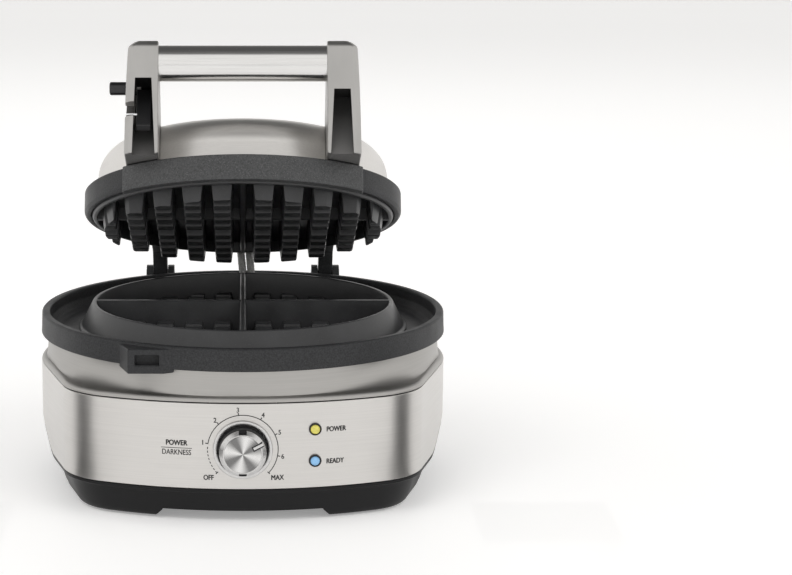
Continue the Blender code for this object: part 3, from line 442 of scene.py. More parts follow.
def loops_to_bmesh(loops, closed_ring=False):
    """Skins a list of equally long closed loops, and caps the first and last one."""
    bm = bmesh.new()
    rings = [[bm.verts.new(p) for p in loop] for loop in loops]
    pairs = list(zip(rings, rings[1:]))
    if closed_ring:
        pairs.append((rings[-1], rings[0]))
    for low, high in pairs:
        for i in range(len(low)):
            j = (i + 1) % len(low)
            bm.faces.new((low[i], low[j], high[j], high[i]))
    if not closed_ring:
        bm.faces.new(rings[0][::-1])
        bm.faces.new(rings[-1])
    return bm


def turned(profile, segments=192, centre=(0.0, 0.0)):
    """Spins a closed (radius, z) profile round the vertical axis at the centre."""
    bm = bmesh.new()
    columns = []
    for i in range(segments):
        angle = 2.0 * math.pi * i / segments
        column = []
        for k, (radius, z) in enumerate(profile):
            if radius < 1e-6 and columns:
                column.append(columns[0][k])
                continue
            x = centre[0] + radius * math.cos(angle)
            y = centre[1] + radius * math.sin(angle)
            column.append(bm.verts.new((x, y, z)))
        columns.append(column)
    count = len(profile)
    for i in range(segments):
        here, there = columns[i], columns[(i + 1) % segments]
        for k in range(count):
            m = (k + 1) % count
            unique = list(dict.fromkeys([here[k], there[k], there[m], here[m]]))
            if len(unique) >= 3:
                bm.faces.new(unique)
    return bm


def prism(outline, low, high):
    """A vertical prism over a list of (x, y) points."""
    return loops_to_bmesh([[(x, y, low) for x, y in outline], [(x, y, high) for x, y in outline]])


def side_prism(outline, x_low, x_high):
    """A prism along X over a list of (y, z) points."""
    loops = [[(x_low, y, z) for y, z in outline], [(x_high, y, z) for y, z in outline]]
    return loops_to_bmesh(loops)


def box(x0, x1, y0, y1, z0, z1):
    return prism([(x0, y0), (x1, y0), (x1, y1), (x0, y1)], z0, z1)


def rod(start, end, radius, segments=48, round_end=0.0, round_start=0.0):
    """A round rod between two points, with rounded ends if asked."""
    start, end = Vector(start), Vector(end)
    turn = (end - start).normalized().to_track_quat("Z", "Y")
    length = (end - start).length
    stations = []
    if round_start > 0.0:
        for z, r in arc(round_start, 0.0, round_start, 180.0, 90.0, 4):
            stations.append((z, radius - round_start + r))
    else:
        stations.append((0.0, radius))
    if round_end > 0.0:
        for z, r in arc(length - round_end, 0.0, round_end, 90.0, 0.0, 4):
            stations.append((z, radius - round_end + r))
    else:
        stations.append((length, radius))
    loops = []
    for along, r in stations:
        loop = []
        for i in range(segments):
            angle = 2.0 * math.pi * i / segments
            loop.append(start + turn @ Vector((r * math.cos(angle), r * math.sin(angle), along)))
        loops.append(loop)
    return loops_to_bmesh(loops)


def join(bm, other):
    """Adds another bmesh's faces to the first."""
    mesh = bpy.data.meshes.new("part")
    other.to_mesh(mesh)
    other.free()
    bm.from_mesh(mesh)
    bpy.data.meshes.remove(mesh)
    return bm


# these turn a profile's own axis, +Z, to point out of the front or out of the back
FACING_FRONT = Matrix(((1, 0, 0, 0), (0, 0, -1, 0), (0, 1, 0, 0), (0, 0, 0, 1)))
FACING_BACK = Matrix(((1, 0, 0, 0), (0, 0, 1, 0), (0, -1, 0, 0), (0, 0, 0, 1)))


def faced(profile, x, z, segments=96):
    """Spins a (radius, distance forward of the middle) profile round an axis along Y at (x, z)."""
    bm = turned(profile, segments)
    bmesh.ops.transform(bm, matrix=Matrix.Translation((x, 0.0, z)) @ FACING_FRONT, verts=bm.verts)
    return bm


def raw_object(name, bm, placed):
    """An object in millimetres turned into metres, with its faces pointing out."""
    bmesh.ops.recalc_face_normals(bm, faces=bm.faces)
    mesh = bpy.data.meshes.new(name)
    bm.to_mesh(mesh)
    bm.free()
    mesh.transform(Matrix.Scale(MM, 4))
    obj = bpy.data.objects.new(name, mesh)
    bpy.context.scene.collection.objects.link(obj)
    obj.matrix_world = placed
    return obj


def settle(obj):
    """Applies an object's modifiers to its mesh."""
    bpy.context.view_layer.update()
    graph = bpy.context.evaluated_depsgraph_get()
    mesh = bpy.data.meshes.new_from_object(obj.evaluated_get(graph))
    old = obj.data
    obj.modifiers.clear()
    obj.data = mesh
    bpy.data.meshes.remove(old)


def combine(obj, bm, operation="DIFFERENCE", nested=False):
    """Cuts or joins a shape, given in the object's own space, and applies the result."""
    tool = raw_object("tool", bm, obj.matrix_world.copy())
    mod = obj.modifiers.new("combine", "BOOLEAN")
    mod.operation = operation
    mod.solver = "EXACT"
    mod.use_self = nested
    mod.object = tool
    settle(obj)
    mesh = tool.data
    bpy.data.objects.remove(tool)
    bpy.data.meshes.remove(mesh)


def start_piece(name, bm, body):
    return raw_object(name, bm, LID_TURN if body in ("lid", "latch") else Matrix.Identity(4))


def end_piece(obj, paint, body, nodes=(), bevel=0.0, steps=2, smooth_deg=38.0):
    """Bevels, shades, paints and hands the piece to its body."""
    if bevel > 0.0:
        mod = obj.modifiers.new("bevel", "BEVEL")
        mod.width = bevel * MM
        mod.segments = steps
        mod.limit_method = "ANGLE"
        mod.angle_limit = math.radians(35.0)
        mod.harden_normals = False
        settle(obj)
    obj.data.materials.clear()
    obj.data.materials.append(PAINTS[paint].mat)
    obj.data.shade_smooth()
    obj.data.set_sharp_from_angle(angle=math.radians(smooth_deg))
    mod = obj.modifiers.new("weighted", "WEIGHTED_NORMAL")
    mod.mode = "FACE_AREA"
    mod.weight = 70
    mod.keep_sharp = True
    settle(obj)
    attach(obj, body)
    if nodes:
        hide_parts(*nodes)
    return obj


def piece(name, bm, paint, body, nodes=(), bevel=0.0, steps=2, smooth_deg=38.0):
    return end_piece(start_piece(name, bm, body), paint, body, nodes, bevel, steps, smooth_deg)


# ---- body outline ------------------------------------------------------------------------------
def body_outline(inset, rear_open=False):
    """Closed plan outline: shallow front arc, front corners, sides and a round back."""
    front_c = FRONT_Y + FRONT_ARC_R
    side_c = BODY_HALF_WIDTH - SIDE_ARC_R
    tilt = math.radians(SIDE_TILT_DEG)
    reach = side_c * math.cos(tilt) + SIDE_ARC_R - CORNER_R
    swing = math.asin((reach + front_c * math.sin(tilt)) / (FRONT_ARC_R - CORNER_R)) - tilt
    corner_c = FRONT_ARC_R - CORNER_R
    corner_at = (corner_c * math.sin(swing), front_c - corner_c * math.cos(swing))
    swing_deg = math.degrees(swing)
    half = arc(0.0, front_c, FRONT_ARC_R - inset, -90.0, -90.0 + swing_deg, 24)[:-1]
    half += arc(*corner_at, CORNER_R - inset, -90.0 + swing_deg, -SIDE_TILT_DEG, 24)
    side = arc(side_c, 0.0, SIDE_ARC_R - inset, -SIDE_TILT_DEG, 0.0, 8)[:-1]
    start, end = Vector(half[-1]), Vector(side[0])
    half += [tuple(start.lerp(end, i / 14.0)) for i in range(1, 14)] + side
    rear_r = BODY_HALF_WIDTH - inset
    opening_deg = math.degrees(math.acos(REAR_HALF / BODY_HALF_WIDTH))
    half += arc(0.0, 0.0, rear_r, 0.0, opening_deg, 36)
    if rear_open:
        return [(-x, y) for x, y in half[:0:-1]] + half
    half += arc(0.0, 0.0, rear_r, opening_deg, 90.0, 14)[1:]
    return half + [(-x, y) for x, y in half[-2:0:-1]]


def smooth_step(value, low, high):
    t = min(max((value - low) / (high - low), 0.0), 1.0)
    return t * t * (3.0 - 2.0 * t)


def side_share(y):
    """0 at the front and back of the body, 1 along its sides, where the steel is cut high."""
    return smooth_step(y, -46.0, -4.0) * (1.0 - smooth_step(y, 34.0, 76.0))


def front_y(x):
    """The wrap's front surface at a distance from the middle."""
    return FRONT_Y + FRONT_ARC_R - math.sqrt(FRONT_ARC_R ** 2 - x ** 2)


# ---- base shells -------------------------------------------------------------------------------
def between(rows, steps):
    """Adds smooth rows between the given rows of numbers."""
    result = []
    for i in range(len(rows) - 1):
        p = [rows[max(i - 1, 0)], rows[i], rows[i + 1], rows[min(i + 2, len(rows) - 1)]]
        for k in range(steps):
            t = k / steps
            row = []
            for a, b, c, d in zip(*p):
                row.append(0.5 * (2 * b + (c - a) * t + (2 * a - 5 * b + 4 * c - d) * t ** 2
                                  + (3 * b - a - 3 * c + d) * t ** 3))
            result.append(tuple(row))
    return result + [rows[-1]]


def base_tray():
    """Moulded tub: feet lobes, tapered skirt, lip under the steel, inner wall."""
    low = WRAP_LOW_Z
    skirt = [
        # height at front, inset at front, height at side, inset at side
        (1.0, 13.0, 1.2, 31.0),
        (1.4, 10.6, 2.0, 27.0),
        (3.4, 8.8, 6.0, 23.0),
        (7.5, 7.2, 14.0, 18.5),
        (12.0, 5.8, 24.0, 15.0),
        (low - 4.4, 4.4, low + SIDE_RISE - 6.0, 12.0),
        (low - 2.9, 3.5, low + SIDE_RISE - 3.4, 10.6),
    ]
    rim = [
        (low - 2.7, 2.6, low + SIDE_RISE - 3.0, 8.0),
        (low - 2.5, 0.9, low + SIDE_RISE - 2.5, 0.9),
        (low - 2.1, 0.4, low + SIDE_RISE - 2.1, 0.4),
        (low - GAP - 0.3, 0.2, low + SIDE_RISE - GAP - 0.3, 0.2),
        (low - GAP, 0.5, low + SIDE_RISE - GAP, 0.5),
        (low - GAP, SHEET + GAP, low + SIDE_RISE - GAP, SHEET + GAP),
        (SEAM_Z - 3.0, SHEET + GAP, SEAM_Z - 3.0, SHEET + GAP),
        (SEAM_Z - 3.0, 3.7, SEAM_Z - 3.0, 3.7),
        (low + 2.5, 3.7, low + SIDE_RISE + 3.0, 3.7),
        (low - 2.0, 7.0, low + SIDE_RISE - 2.0, 13.6),
        (15.0, 9.4, 24.0, 18.4),
        (12.0, 11.6, 15.0, 23.0),
        (9.8, 17.0, 10.6, 30.0),
    ]
    plain = body_outline(0.0)
    loops = []
    for z_front, in_front, z_side, in_side in between(skirt, 3) + rim:
        loop = []
        for (_, y0), (xa, ya), (xc, yc) in zip(plain, body_outline(in_front), body_outline(in_side)):
            t = side_share(y0)
            loop.append((xa + (xc - xa) * t, ya + (yc - ya) * t, z_front + (z_side - z_front) * t))
        loops.append(loop)
    tray = start_piece("base_shell", loops_to_bmesh(loops), "base")
    arch = box(-46.0, 46.0, -140.0, 140.0, -2.0, ARCH_H)
    join(arch, box(-140.0, 140.0, -46.0, 46.0, -1.9, ARCH_H - 0.1))
    for side in (-1.0, 1.0):
        slope = [(side * 45.5, -2.0), (side * 53.0, -2.0), (side * 45.5, ARCH_H - 0.05)]
        join(arch, loops_to_bmesh([[(x, y, z) for x, z in slope] for y in (-139.0, 139.0)]))
    for x in (-68.0, 68.0):
        for y in (-66.0, 62.0):
            join(arch, turned([(0.0, -2.0), (9.3, -2.0), (9.3, 2.6), (0.0, 2.6)], 48, (x, y)))
    for x in (-30.0, 30.0):
        for y in (-60.0, 60.0):
            join(arch, turned([(0.0, -2.0), (3.6, -2.0), (3.6, SCREW_SEAT), (0.0, SCREW_SEAT)], 32, (x, y)))
    join(arch, rod((0.0, 100.0, GLAND_Z), (0.0, 150.0, GLAND_Z), GLAND_R + GAP, 48))
    combine(tray, arch, nested=True)
    end_piece(tray, "tray", "base", ("base_tray",), smooth_deg=32.0)


def steel_wrap():
    """Brushed sheet round front and sides, cut high at the sides, open at the back."""
    top = SEAM_Z - GAP
    edge = 0.35
    bm = bmesh.new()
    columns = []
    plans = [body_outline(inset, True) for inset in (0.0, edge, SHEET)]
    for (x0, y0), (x1, y1), (x2, y2) in zip(*plans):
        low = WRAP_LOW_Z + SIDE_RISE * side_share(y0)
        corners = [(x0, y0, low + edge), (x0, y0, top - edge), (x1, y1, top),
                   (x2, y2, top), (x2, y2, low), (x1, y1, low)]
        columns.append([bm.verts.new(c) for c in corners])
    for here, there in zip(columns, columns[1:]):
        for k in range(6):
            m = (k + 1) % 6
            bm.faces.new((here[k], there[k], there[m], here[m]))
    bm.faces.new(columns[0])
    bm.faces.new(columns[-1][::-1])
    piece("wrap_sheet", bm, "wrap", "base", ("steel_wrap",), smooth_deg=50.0)


def rear_panel():
    """Moulded panel that closes the wrap at the back, with the lead's inlet."""
    half_deg = math.degrees(math.asin((REAR_HALF - 0.6) / BODY_HALF_WIDTH))
    outer = arc(0.0, 0.0, BODY_HALF_WIDTH + 0.6, 90.0 - half_deg, 90.0 + half_deg, 40)
    inner = arc(0.0, 0.0, BODY_HALF_WIDTH - SHEET + 0.1, 90.0 + half_deg, 90.0 - half_deg, 40)
    panel = start_piece("back_panel", prism(outer + inner, WRAP_LOW_Z, SEAM_Z - GAP), "base")
    combine(panel, rod((0.0, 100.0, GLAND_Z), (0.0, 150.0, GLAND_Z), GLAND_R + GAP, 48))
    end_piece(panel, "black", "base", ("rear_panel",), 0.4)
    flange_r = GLAND_R + 1.6
    profile = [(3.6, 104.0), (GLAND_R, 104.0), (GLAND_R, 124.2), (flange_r, 124.4), (flange_r, 126.6),
               (GLAND_R, 127.2), (GLAND_R - 0.3, 132.6), (3.6, 132.6)]
    bm = turned(soften(profile, 0.5), 64)
    bmesh.ops.transform(bm, matrix=Matrix.Translation((0, 0, GLAND_Z)) @ FACING_BACK, verts=bm.verts)
    piece("inlet_bush", bm, "gloss", "base", ("lead_inlet",))


def shoulder_shell():
    """Steel shoulder: rounded lip over the seam, then a dished slope up to the ring."""
    lip = 3.0
    base = SEAM_Z + 0.4
    top_z = RING_TOP - RING_HEIGHT - GAP
    top_r = 118.2

    def station(share_lip, share_slope, offset):
        angle = math.radians(90.0 * share_lip)
        inset = lip * (1.0 - math.cos(angle))
        z = base + lip * math.sin(angle)
        slope = math.radians(90.0 * share_slope)
        blend = math.sin(slope)
        rise = (top_z - base - lip) * (1.0 - math.cos(slope))
        loop = []
        for x, y in body_outline(inset + offset):
            bearing = math.atan2(y, x)
            tx = (top_r - offset) * math.cos(bearing)
            ty = (top_r - offset) * math.sin(bearing)
            loop.append((x + (tx - x) * blend, y + (ty - y) * blend, z + rise))
        return loop

    outer = [station(s / 8.0, 0.0, 0.0) for s in range(9)]
    outer += [station(1.0, s / 16.0, 0.0) for s in range(1, 17)]
    inner = [station(1.0, s / 8.0, SHEET) for s in range(8, 0, -1)]
    inner += [station(s / 4.0, 0.0, SHEET) for s in range(4, -1, -1)]
    lowered = [[(x, y, max(z - 0.9, base)) for x, y, z in loop] for loop in inner]
    lowered[0] = [(x, y, z + 0.9) for x, y, z in lowered[0]]
    piece("shoulder_sheet", loops_to_bmesh(outer + lowered, closed_ring=True), "shoulder", "base",
          ("shoulder_shell",), smooth_deg=60.0)


def moat_ring():
    """Cast ring: outer wall, overflow moat and the catch for the lid's latch."""
    top = RING_TOP
    low = RING_TOP - RING_HEIGHT
    profile = [
        (RING_R + 0.5, low), (RING_R + 0.3, low + 3.0), (RING_R, top - 0.9), (RING_R - 0.9, top),
        (MOAT_R + 0.8, top), (MOAT_R, top - 0.9), (MOAT_R - 0.6, top - 6.5), (MOAT_R - 2.6, top - 10.2),
        (MOAT_R - 6.4, top - 11.6), (98.2, top - 11.6), (98.2, top - 14.2), (MOAT_R - 3.0, top - 14.2),
        (MOAT_R - 0.4, top - 12.4), (MOAT_R - 0.2, low),
    ]
    ring = start_piece("ring_casting", turned(soften(profile, 0.8), 192), "base")
    bottom = top - 15.2
    plan_low = [(-70.5, -98.6), (-64.9, -117.4), (-44.8, -117.4), (-38.5, -114.3), (-44.0, -111.3)]
    plan_high = [(-70.5, -98.6), (-64.9, -115.2), (-44.8, -115.2), (-38.5, -114.3), (-44.0, -111.3)]
    lug = loops_to_bmesh([[(x, y, bottom) for x, y in plan_low], [(x, y, top - 1.6) for x, y in plan_high]])
    bmesh.ops.recalc_face_normals(lug, faces=lug.faces)
    bmesh.ops.bevel(lug, geom=lug.edges[:], offset=0.7, segments=3, profile=0.5, affect="EDGES")
    combine(ring, lug, "UNION")
    mouth = [(-61.6, top - 11.1), (-46.6, top - 11.1), (-46.9, top - 4.0), (-61.3, top - 4.0)]
    window = loops_to_bmesh([[(x, y, z) for x, z in mouth] for y in (-130.0, -116.4)])
    join(window, box(-61.0, -47.1, -129.0, -111.4, top - 10.6, top - 4.6))
    combine(ring, window, nested=True)
    end_piece(ring, "ring", "base", ("moat_ring",))


# ---- plates ------------------------------------------------------------------------------------
def tooth_field(z_root, z_tip):
    """Truncated pyramids in four blocks with rounded edges."""
    bm = bmesh.new()
    spots = [sign * (TOOTH_FIRST + TOOTH_PITCH * i) for i in range(TOOTH_ROWS) for sign in (-1.0, 1.0)]
    for x in spots:
        for y in spots:
            if math.hypot(abs(x) - TOOTH_TIP / 2.0, abs(y) - TOOTH_TIP / 2.0) > 81.5:
                continue
            loops = []
            for z, side in ((z_root, TOOTH_BASE), (z_tip, TOOTH_TIP)):
                h = side / 2.0
                loops.append([(x - h, y - h, z), (x + h, y - h, z), (x + h, y + h, z), (x - h, y + h, z)])
            join(bm, loops_to_bmesh(loops))
    bmesh.ops.recalc_face_normals(bm, faces=bm.faces)
    deep = min(z_root, z_tip) if z_tip > z_root else max(z_root, z_tip)
    edges = [e for e in bm.edges if not all(abs(v.co.z - deep) < 1e-4 for v in e.verts)]
    bmesh.ops.bevel(bm, geom=edges, offset=0.9, segments=3, profile=0.5, affect="EDGES")
    return bm


def divider_cross(z_root, z_edge):
    """Two thin walls that part the plate into quarters, thinner at the edge."""
    loops = []
    for z, w in ((z_root, 2.6), (z_edge - math.copysign(0.5, z_edge - z_root), 1.6), (z_edge, 1.0)):
        quarter = [(DIVIDER_REACH, -w), (DIVIDER_REACH, w), (w, w)]
        plan = []
        for turn in range(4):
            for x, y in quarter:
                for _ in range(turn):
                    x, y = -y, x
                plan.append((x, y, z))
        loops.append(plan)
    return loops_to_bmesh(loops)


def cooking_plate(name, node, body, profile, z_root, z_tip, z_edge, tip_r):
    """Round plate with a well, its teeth and a cross of dividers."""
    teeth = start_piece(name, tooth_field(z_root, z_tip), body)
    lower, upper = sorted((z_root - (z_tip - z_root), z_tip + (z_tip - z_root)))
    root_r = tip_r + 2.2
    slope = (tip_r - root_r) / (z_tip - z_root)
    cone = turned([(0.0, lower), (root_r + slope * (lower - z_root), lower),
                   (root_r + slope * (upper - z_root), upper), (0.0, upper)], 144)
    combine(teeth, cone, "INTERSECT")
    bm = bmesh.new()
    bm.from_mesh(teeth.data)
    bmesh.ops.transform(bm, matrix=Matrix.Scale(1.0 / MM, 4), verts=bm.verts)
    bpy.data.objects.remove(teeth)
    join(bm, divider_cross(z_root, z_edge))
    join(bm, turned(soften(profile, 1.2), 192))
    piece(name, bm, "plate", body, (node,))


def lower_plate():
    top = MATE_Z - GAP / 2.0
    floor = MATE_Z - 20.8
    profile = [
        (0.0, floor), (85.4, floor), (88.8, top), (91.0, top), (92.6, top - 3.0), (97.6, RING_TOP - 9.4),
        (99.4, RING_TOP - 10.4), (99.4, RING_TOP - 11.3), (97.9, RING_TOP - 11.3), (97.9, floor - 1.0),
        (95.5, floor - 3.0), (0.0, floor - 3.0),
    ]
    cooking_plate("lower_waffle_plate", "lower_plate", "base", profile, floor - 0.6, floor + 9.2, top - 0.1,
                  82.8)


def upper_plate():
    low = MATE_Z + GAP / 2.0
    ceiling = MATE_Z + 7.0
    profile = [
        (0.0, ceiling), (86.2, ceiling), (88.8, low), (90.8, low), (91.6, low + 1.4), (91.6, ceiling + 3.6),
        (90.6, ceiling + 4.0), (0.0, ceiling + 4.0),
    ]
    cooking_plate("upper_waffle_plate", "upper_plate", "lid", profile, ceiling + 0.6, MATE_Z - 8.0, low + 0.1,
                  84.2)


# ---- front panel -------------------------------------------------------------------------------
def front_panel():
    y0 = FRONT_Y
    bezel = [
        (13.9, -(y0 - GAP)), (KNOB_R + 3.6, -(y0 - GAP)),
        (KNOB_R + 3.6, -(y0 - 0.9)), (KNOB_R + 3.1, -(y0 - 1.4)),
        (KNOB_R + 1.7, -(y0 - 1.3)), (KNOB_R + 0.9, -(y0 - 0.9)), (13.9, -(y0 - 0.7)),
    ]
    piece("dial_rim", faced(bezel, 0.0, DIAL.z, 128), "rim", "base", ("dial_bezel",), smooth_deg=50.0)
    well = [(0.0, -(y0 - 0.1)), (13.9, -(y0 - 0.1)), (13.9, -(y0 - 0.6)), (0.0, -(y0 - 0.6))]
    piece("dial_well", faced(well, 0.0, DIAL.z, 96), "black", "base")
    for tag, z, lens in (("power", LAMP_Z[0], "amber_lens"), ("ready", LAMP_Z[1], "blue_lens")):
        y = -front_y(LAMP_X)
        collar = [(2.75, y + 0.1), (3.7, y + 0.1), (3.6, y + 1.2),
                  (3.3, y + 1.7), (3.0, y + 1.7), (2.75, y + 1.4)]
        piece(f"{tag}_lamp_ring", faced(soften(collar, 0.2), LAMP_X, z, 64), "gloss", "base",
              (f"{tag}_collar",))
        dome = [(0.0, y - 6.0), (2.65, y - 6.0), (2.65, y + 1.3)]
        for angle in (math.radians(a) for a in range(15, 90, 15)):
            dome.append((2.65 * math.cos(angle), y + 1.3 + 1.1 * math.sin(angle)))
        dome.append((0.0, y + 2.4))
        piece(f"{tag}_lamp_lens", faced(dome, LAMP_X, z, 64), lens, "base", (f"{tag}_lens",), smooth_deg=60.0)


def knob_box(angle_deg, half_width, y_low, y_high, r_low, r_high):
    """A box on the dial's face between two radii, at an angle clockwise from straight up."""
    bm = box(-half_width, half_width, y_low, y_high, r_low, r_high)
    turn = Matrix.Translation((0.0, 0.0, DIAL.z)) @ Matrix.Rotation(math.radians(angle_deg), 4, "Y")
    bmesh.ops.transform(bm, matrix=turn, verts=bm.verts)
    return bm


def knob():
    """Dial knob: dark body, bright sloped rim, lathe-turned face, pointer and two grip marks."""
    back, front = 1.9 - FRONT_Y, 11.6 - FRONT_Y
    body = [(0.0, back), (KNOB_R + 0.2, back), (KNOB_R + 0.2, front - 3.4),
            (KNOB_R - 1.0, front - 2.8), (0.0, front - 2.8)]
    piece("knob_core", faced(soften(body, 0.4), 0.0, DIAL.z), "tray", "knob")
    rim = [(10.0, front - 2.8), (KNOB_R, front - 3.2), (KNOB_R, front - 2.2), (11.2, front - 0.05),
           (10.9, front - 0.05), (10.6, front - 0.35), (10.0, front - 0.35)]
    cap = start_piece("knob_rim", faced(soften(rim, 0.25), 0.0, DIAL.z, 128), "knob")
    slots = bmesh.new()
    for angle in (0.0, 180.0):
        join(slots, knob_box(angle, 2.2, -(front + 1.0), -(front - 3.9), 11.2, 16.0))
    join(slots, knob_box(KNOB_ON_DEG, 1.5, -(front + 1.0), -(front - 2.4), 8.0, 16.0))
    combine(cap, slots)
    end_piece(cap, "rim", "knob", ("knob_body",), smooth_deg=45.0)
    face = [(0.0, front - 2.0), (10.6, front - 2.0), (10.6, front - 0.35),
            (10.35, front - 0.15), (0.0, front - 0.15)]
    piece("knob_face", faced(soften(face, 0.12), 0.0, DIAL.z, 128), "spun", "knob")
    outline = knob_box(KNOB_ON_DEG, 1.5, -(front - 0.1), -(front - 2.6), 6.2, KNOB_R - 0.4)
    piece("knob_pointer_slot", outline, "gloss", "knob", bevel=0.1)
    mark = knob_box(KNOB_ON_DEG, 0.75, -front, -(front - 2.6), 6.9, KNOB_R - 0.3)
    piece("knob_pointer_bar", mark, "rim", "knob", ("knob_pointer",), bevel=0.15)


def printed(name, meshes):
    """Flat print laid on the wrap's curved front: each (x, z) point takes the steel's own y."""
    bm = bmesh.new()
    for mesh in meshes:
        join(bm, mesh)
    for vert in bm.verts:
        vert.co.y = front_y(vert.co.x) - 0.03 - vert.co.y
    piece(name, bm, "ink", "base", smooth_deg=30.0)


def flat_strip(points_in, points_out):
    """A thin slab between two rows of (x, z) points."""
    loops = []
    for a, c in zip(points_in, points_out):
        loops.append([(a[0], 0.0, a[1]), (c[0], 0.0, c[1]), (c[0], INK, c[1]), (a[0], INK, a[1])])
    return loops_to_bmesh(loops)


def dial_point(angle_deg, radius):
    """A point on the panel, at an angle clockwise from straight up round the dial."""
    angle = math.radians(angle_deg)
    return (radius * math.sin(angle), DIAL.z + radius * math.cos(angle))


def dial_arc(start, end, width=0.5):
    steps = max(2, int(abs(end - start) / 3.0))
    angles = [start + (end - start) * i / steps for i in range(steps + 1)]
    return flat_strip([dial_point(a, DIAL_ARC_R - width / 2) for a in angles],
                      [dial_point(a, DIAL_ARC_R + width / 2) for a in angles])


def tick(angle, inner, outer, width=0.55):
    side = math.degrees(width / 2.0 / DIAL_ARC_R)
    return flat_strip([dial_point(angle - side, inner), dial_point(angle - side, outer)],
                      [dial_point(angle + side, inner), dial_point(angle + side, outer)])


def lettering(text, x, z, size, align="CENTER", widen=1.0, bold=0.0):
    """Text as a thin slab in the panel's plane, centred in height on z; bold spreads each stroke."""
    curve = bpy.data.curves.new("text", "FONT")
    curve.body = text
    curve.size = size
    curve.align_x = align
    curve.align_y = "CENTER"
    obj = bpy.data.objects.new("text", curve)
    bpy.context.scene.collection.objects.link(obj)
    bpy.context.view_layer.update()
    mesh = bpy.data.meshes.new_from_object(obj)
    bpy.data.objects.remove(obj)
    bm = bmesh.new()
    bm.from_mesh(mesh)
    bpy.data.meshes.remove(mesh)
    made = bmesh.ops.extrude_face_region(bm, geom=bm.faces[:])
    for vert in [v for v in made["geom"] if isinstance(v, bmesh.types.BMVert)]:
        vert.co.z += INK
    for vert in bm.verts:
        vert.co = Vector((x + vert.co.x * widen, vert.co.z, z + vert.co.y))
    if bold > 0.0:
        single = bm.copy()
        bmesh.ops.translate(bm, verts=bm.verts, vec=(-bold, 0.0, 0.0))
        for dx, dz in ((bold, 0.0), (0.0, bold * 0.7), (0.0, -bold * 0.7)):
            shifted = single.copy()
            bmesh.ops.translate(shifted, verts=shifted.verts, vec=(dx, 0.0, dz))
            join(bm, shifted)
        single.free()
    return bm


def panel_print():
    numbers = {"1": -80.5, "2": -43.0, "3": -7.0, "4": 30.0, "5": 65.0, "6": 101.0}
    marks = [dial_arc(-80.5, 133.0)]
    marks += [dial_arc(-133.0 + 6.2 * i, -133.0 + 6.2 * i + 3.6) for i in range(8)]
    for text, angle in numbers.items():
        marks.append(tick(angle, DIAL_ARC_R - 0.2, DIAL_ARC_R + 1.5))
        x, z = dial_point(angle, DIAL_ARC_R + 3.0)
        marks.append(lettering(text, x, z, 3.9, widen=0.9, bold=0.10))
    for angle in (-133.0, 133.0):
        marks.append(tick(angle, DIAL_ARC_R - 0.9, DIAL_ARC_R + 0.9))
    marks.append(lettering("OFF", -19.4, DIAL.z - 16.6, 4.1, widen=0.82, bold=0.15))
    marks.append(lettering("MAX", 19.6, DIAL.z - 16.6, 4.1, widen=0.82, bold=0.15))
    printed("dial_scale", marks)
    label_x = -37.6
    words = [
        lettering("POWER", label_x, DIAL.z + 3.1, 4.2, widen=0.84, bold=0.17),
        lettering("DARKNESS", label_x, DIAL.z - 2.4, 4.3, widen=0.80, bold=0.06),
        flat_strip([(label_x - 8.8 + i * 2.2, DIAL.z + 0.05) for i in range(9)],
                   [(label_x - 8.8 + i * 2.2, DIAL.z + 0.40) for i in range(9)]),
        lettering("POWER", LAMP_X + 6.4, LAMP_Z[0] - 0.6, 4.0, "LEFT", 0.80, 0.16),
        lettering("READY", LAMP_X + 6.4, LAMP_Z[1] - 0.9, 4.0, "LEFT", 0.80, 0.16),
    ]
    printed("panel_words", words)


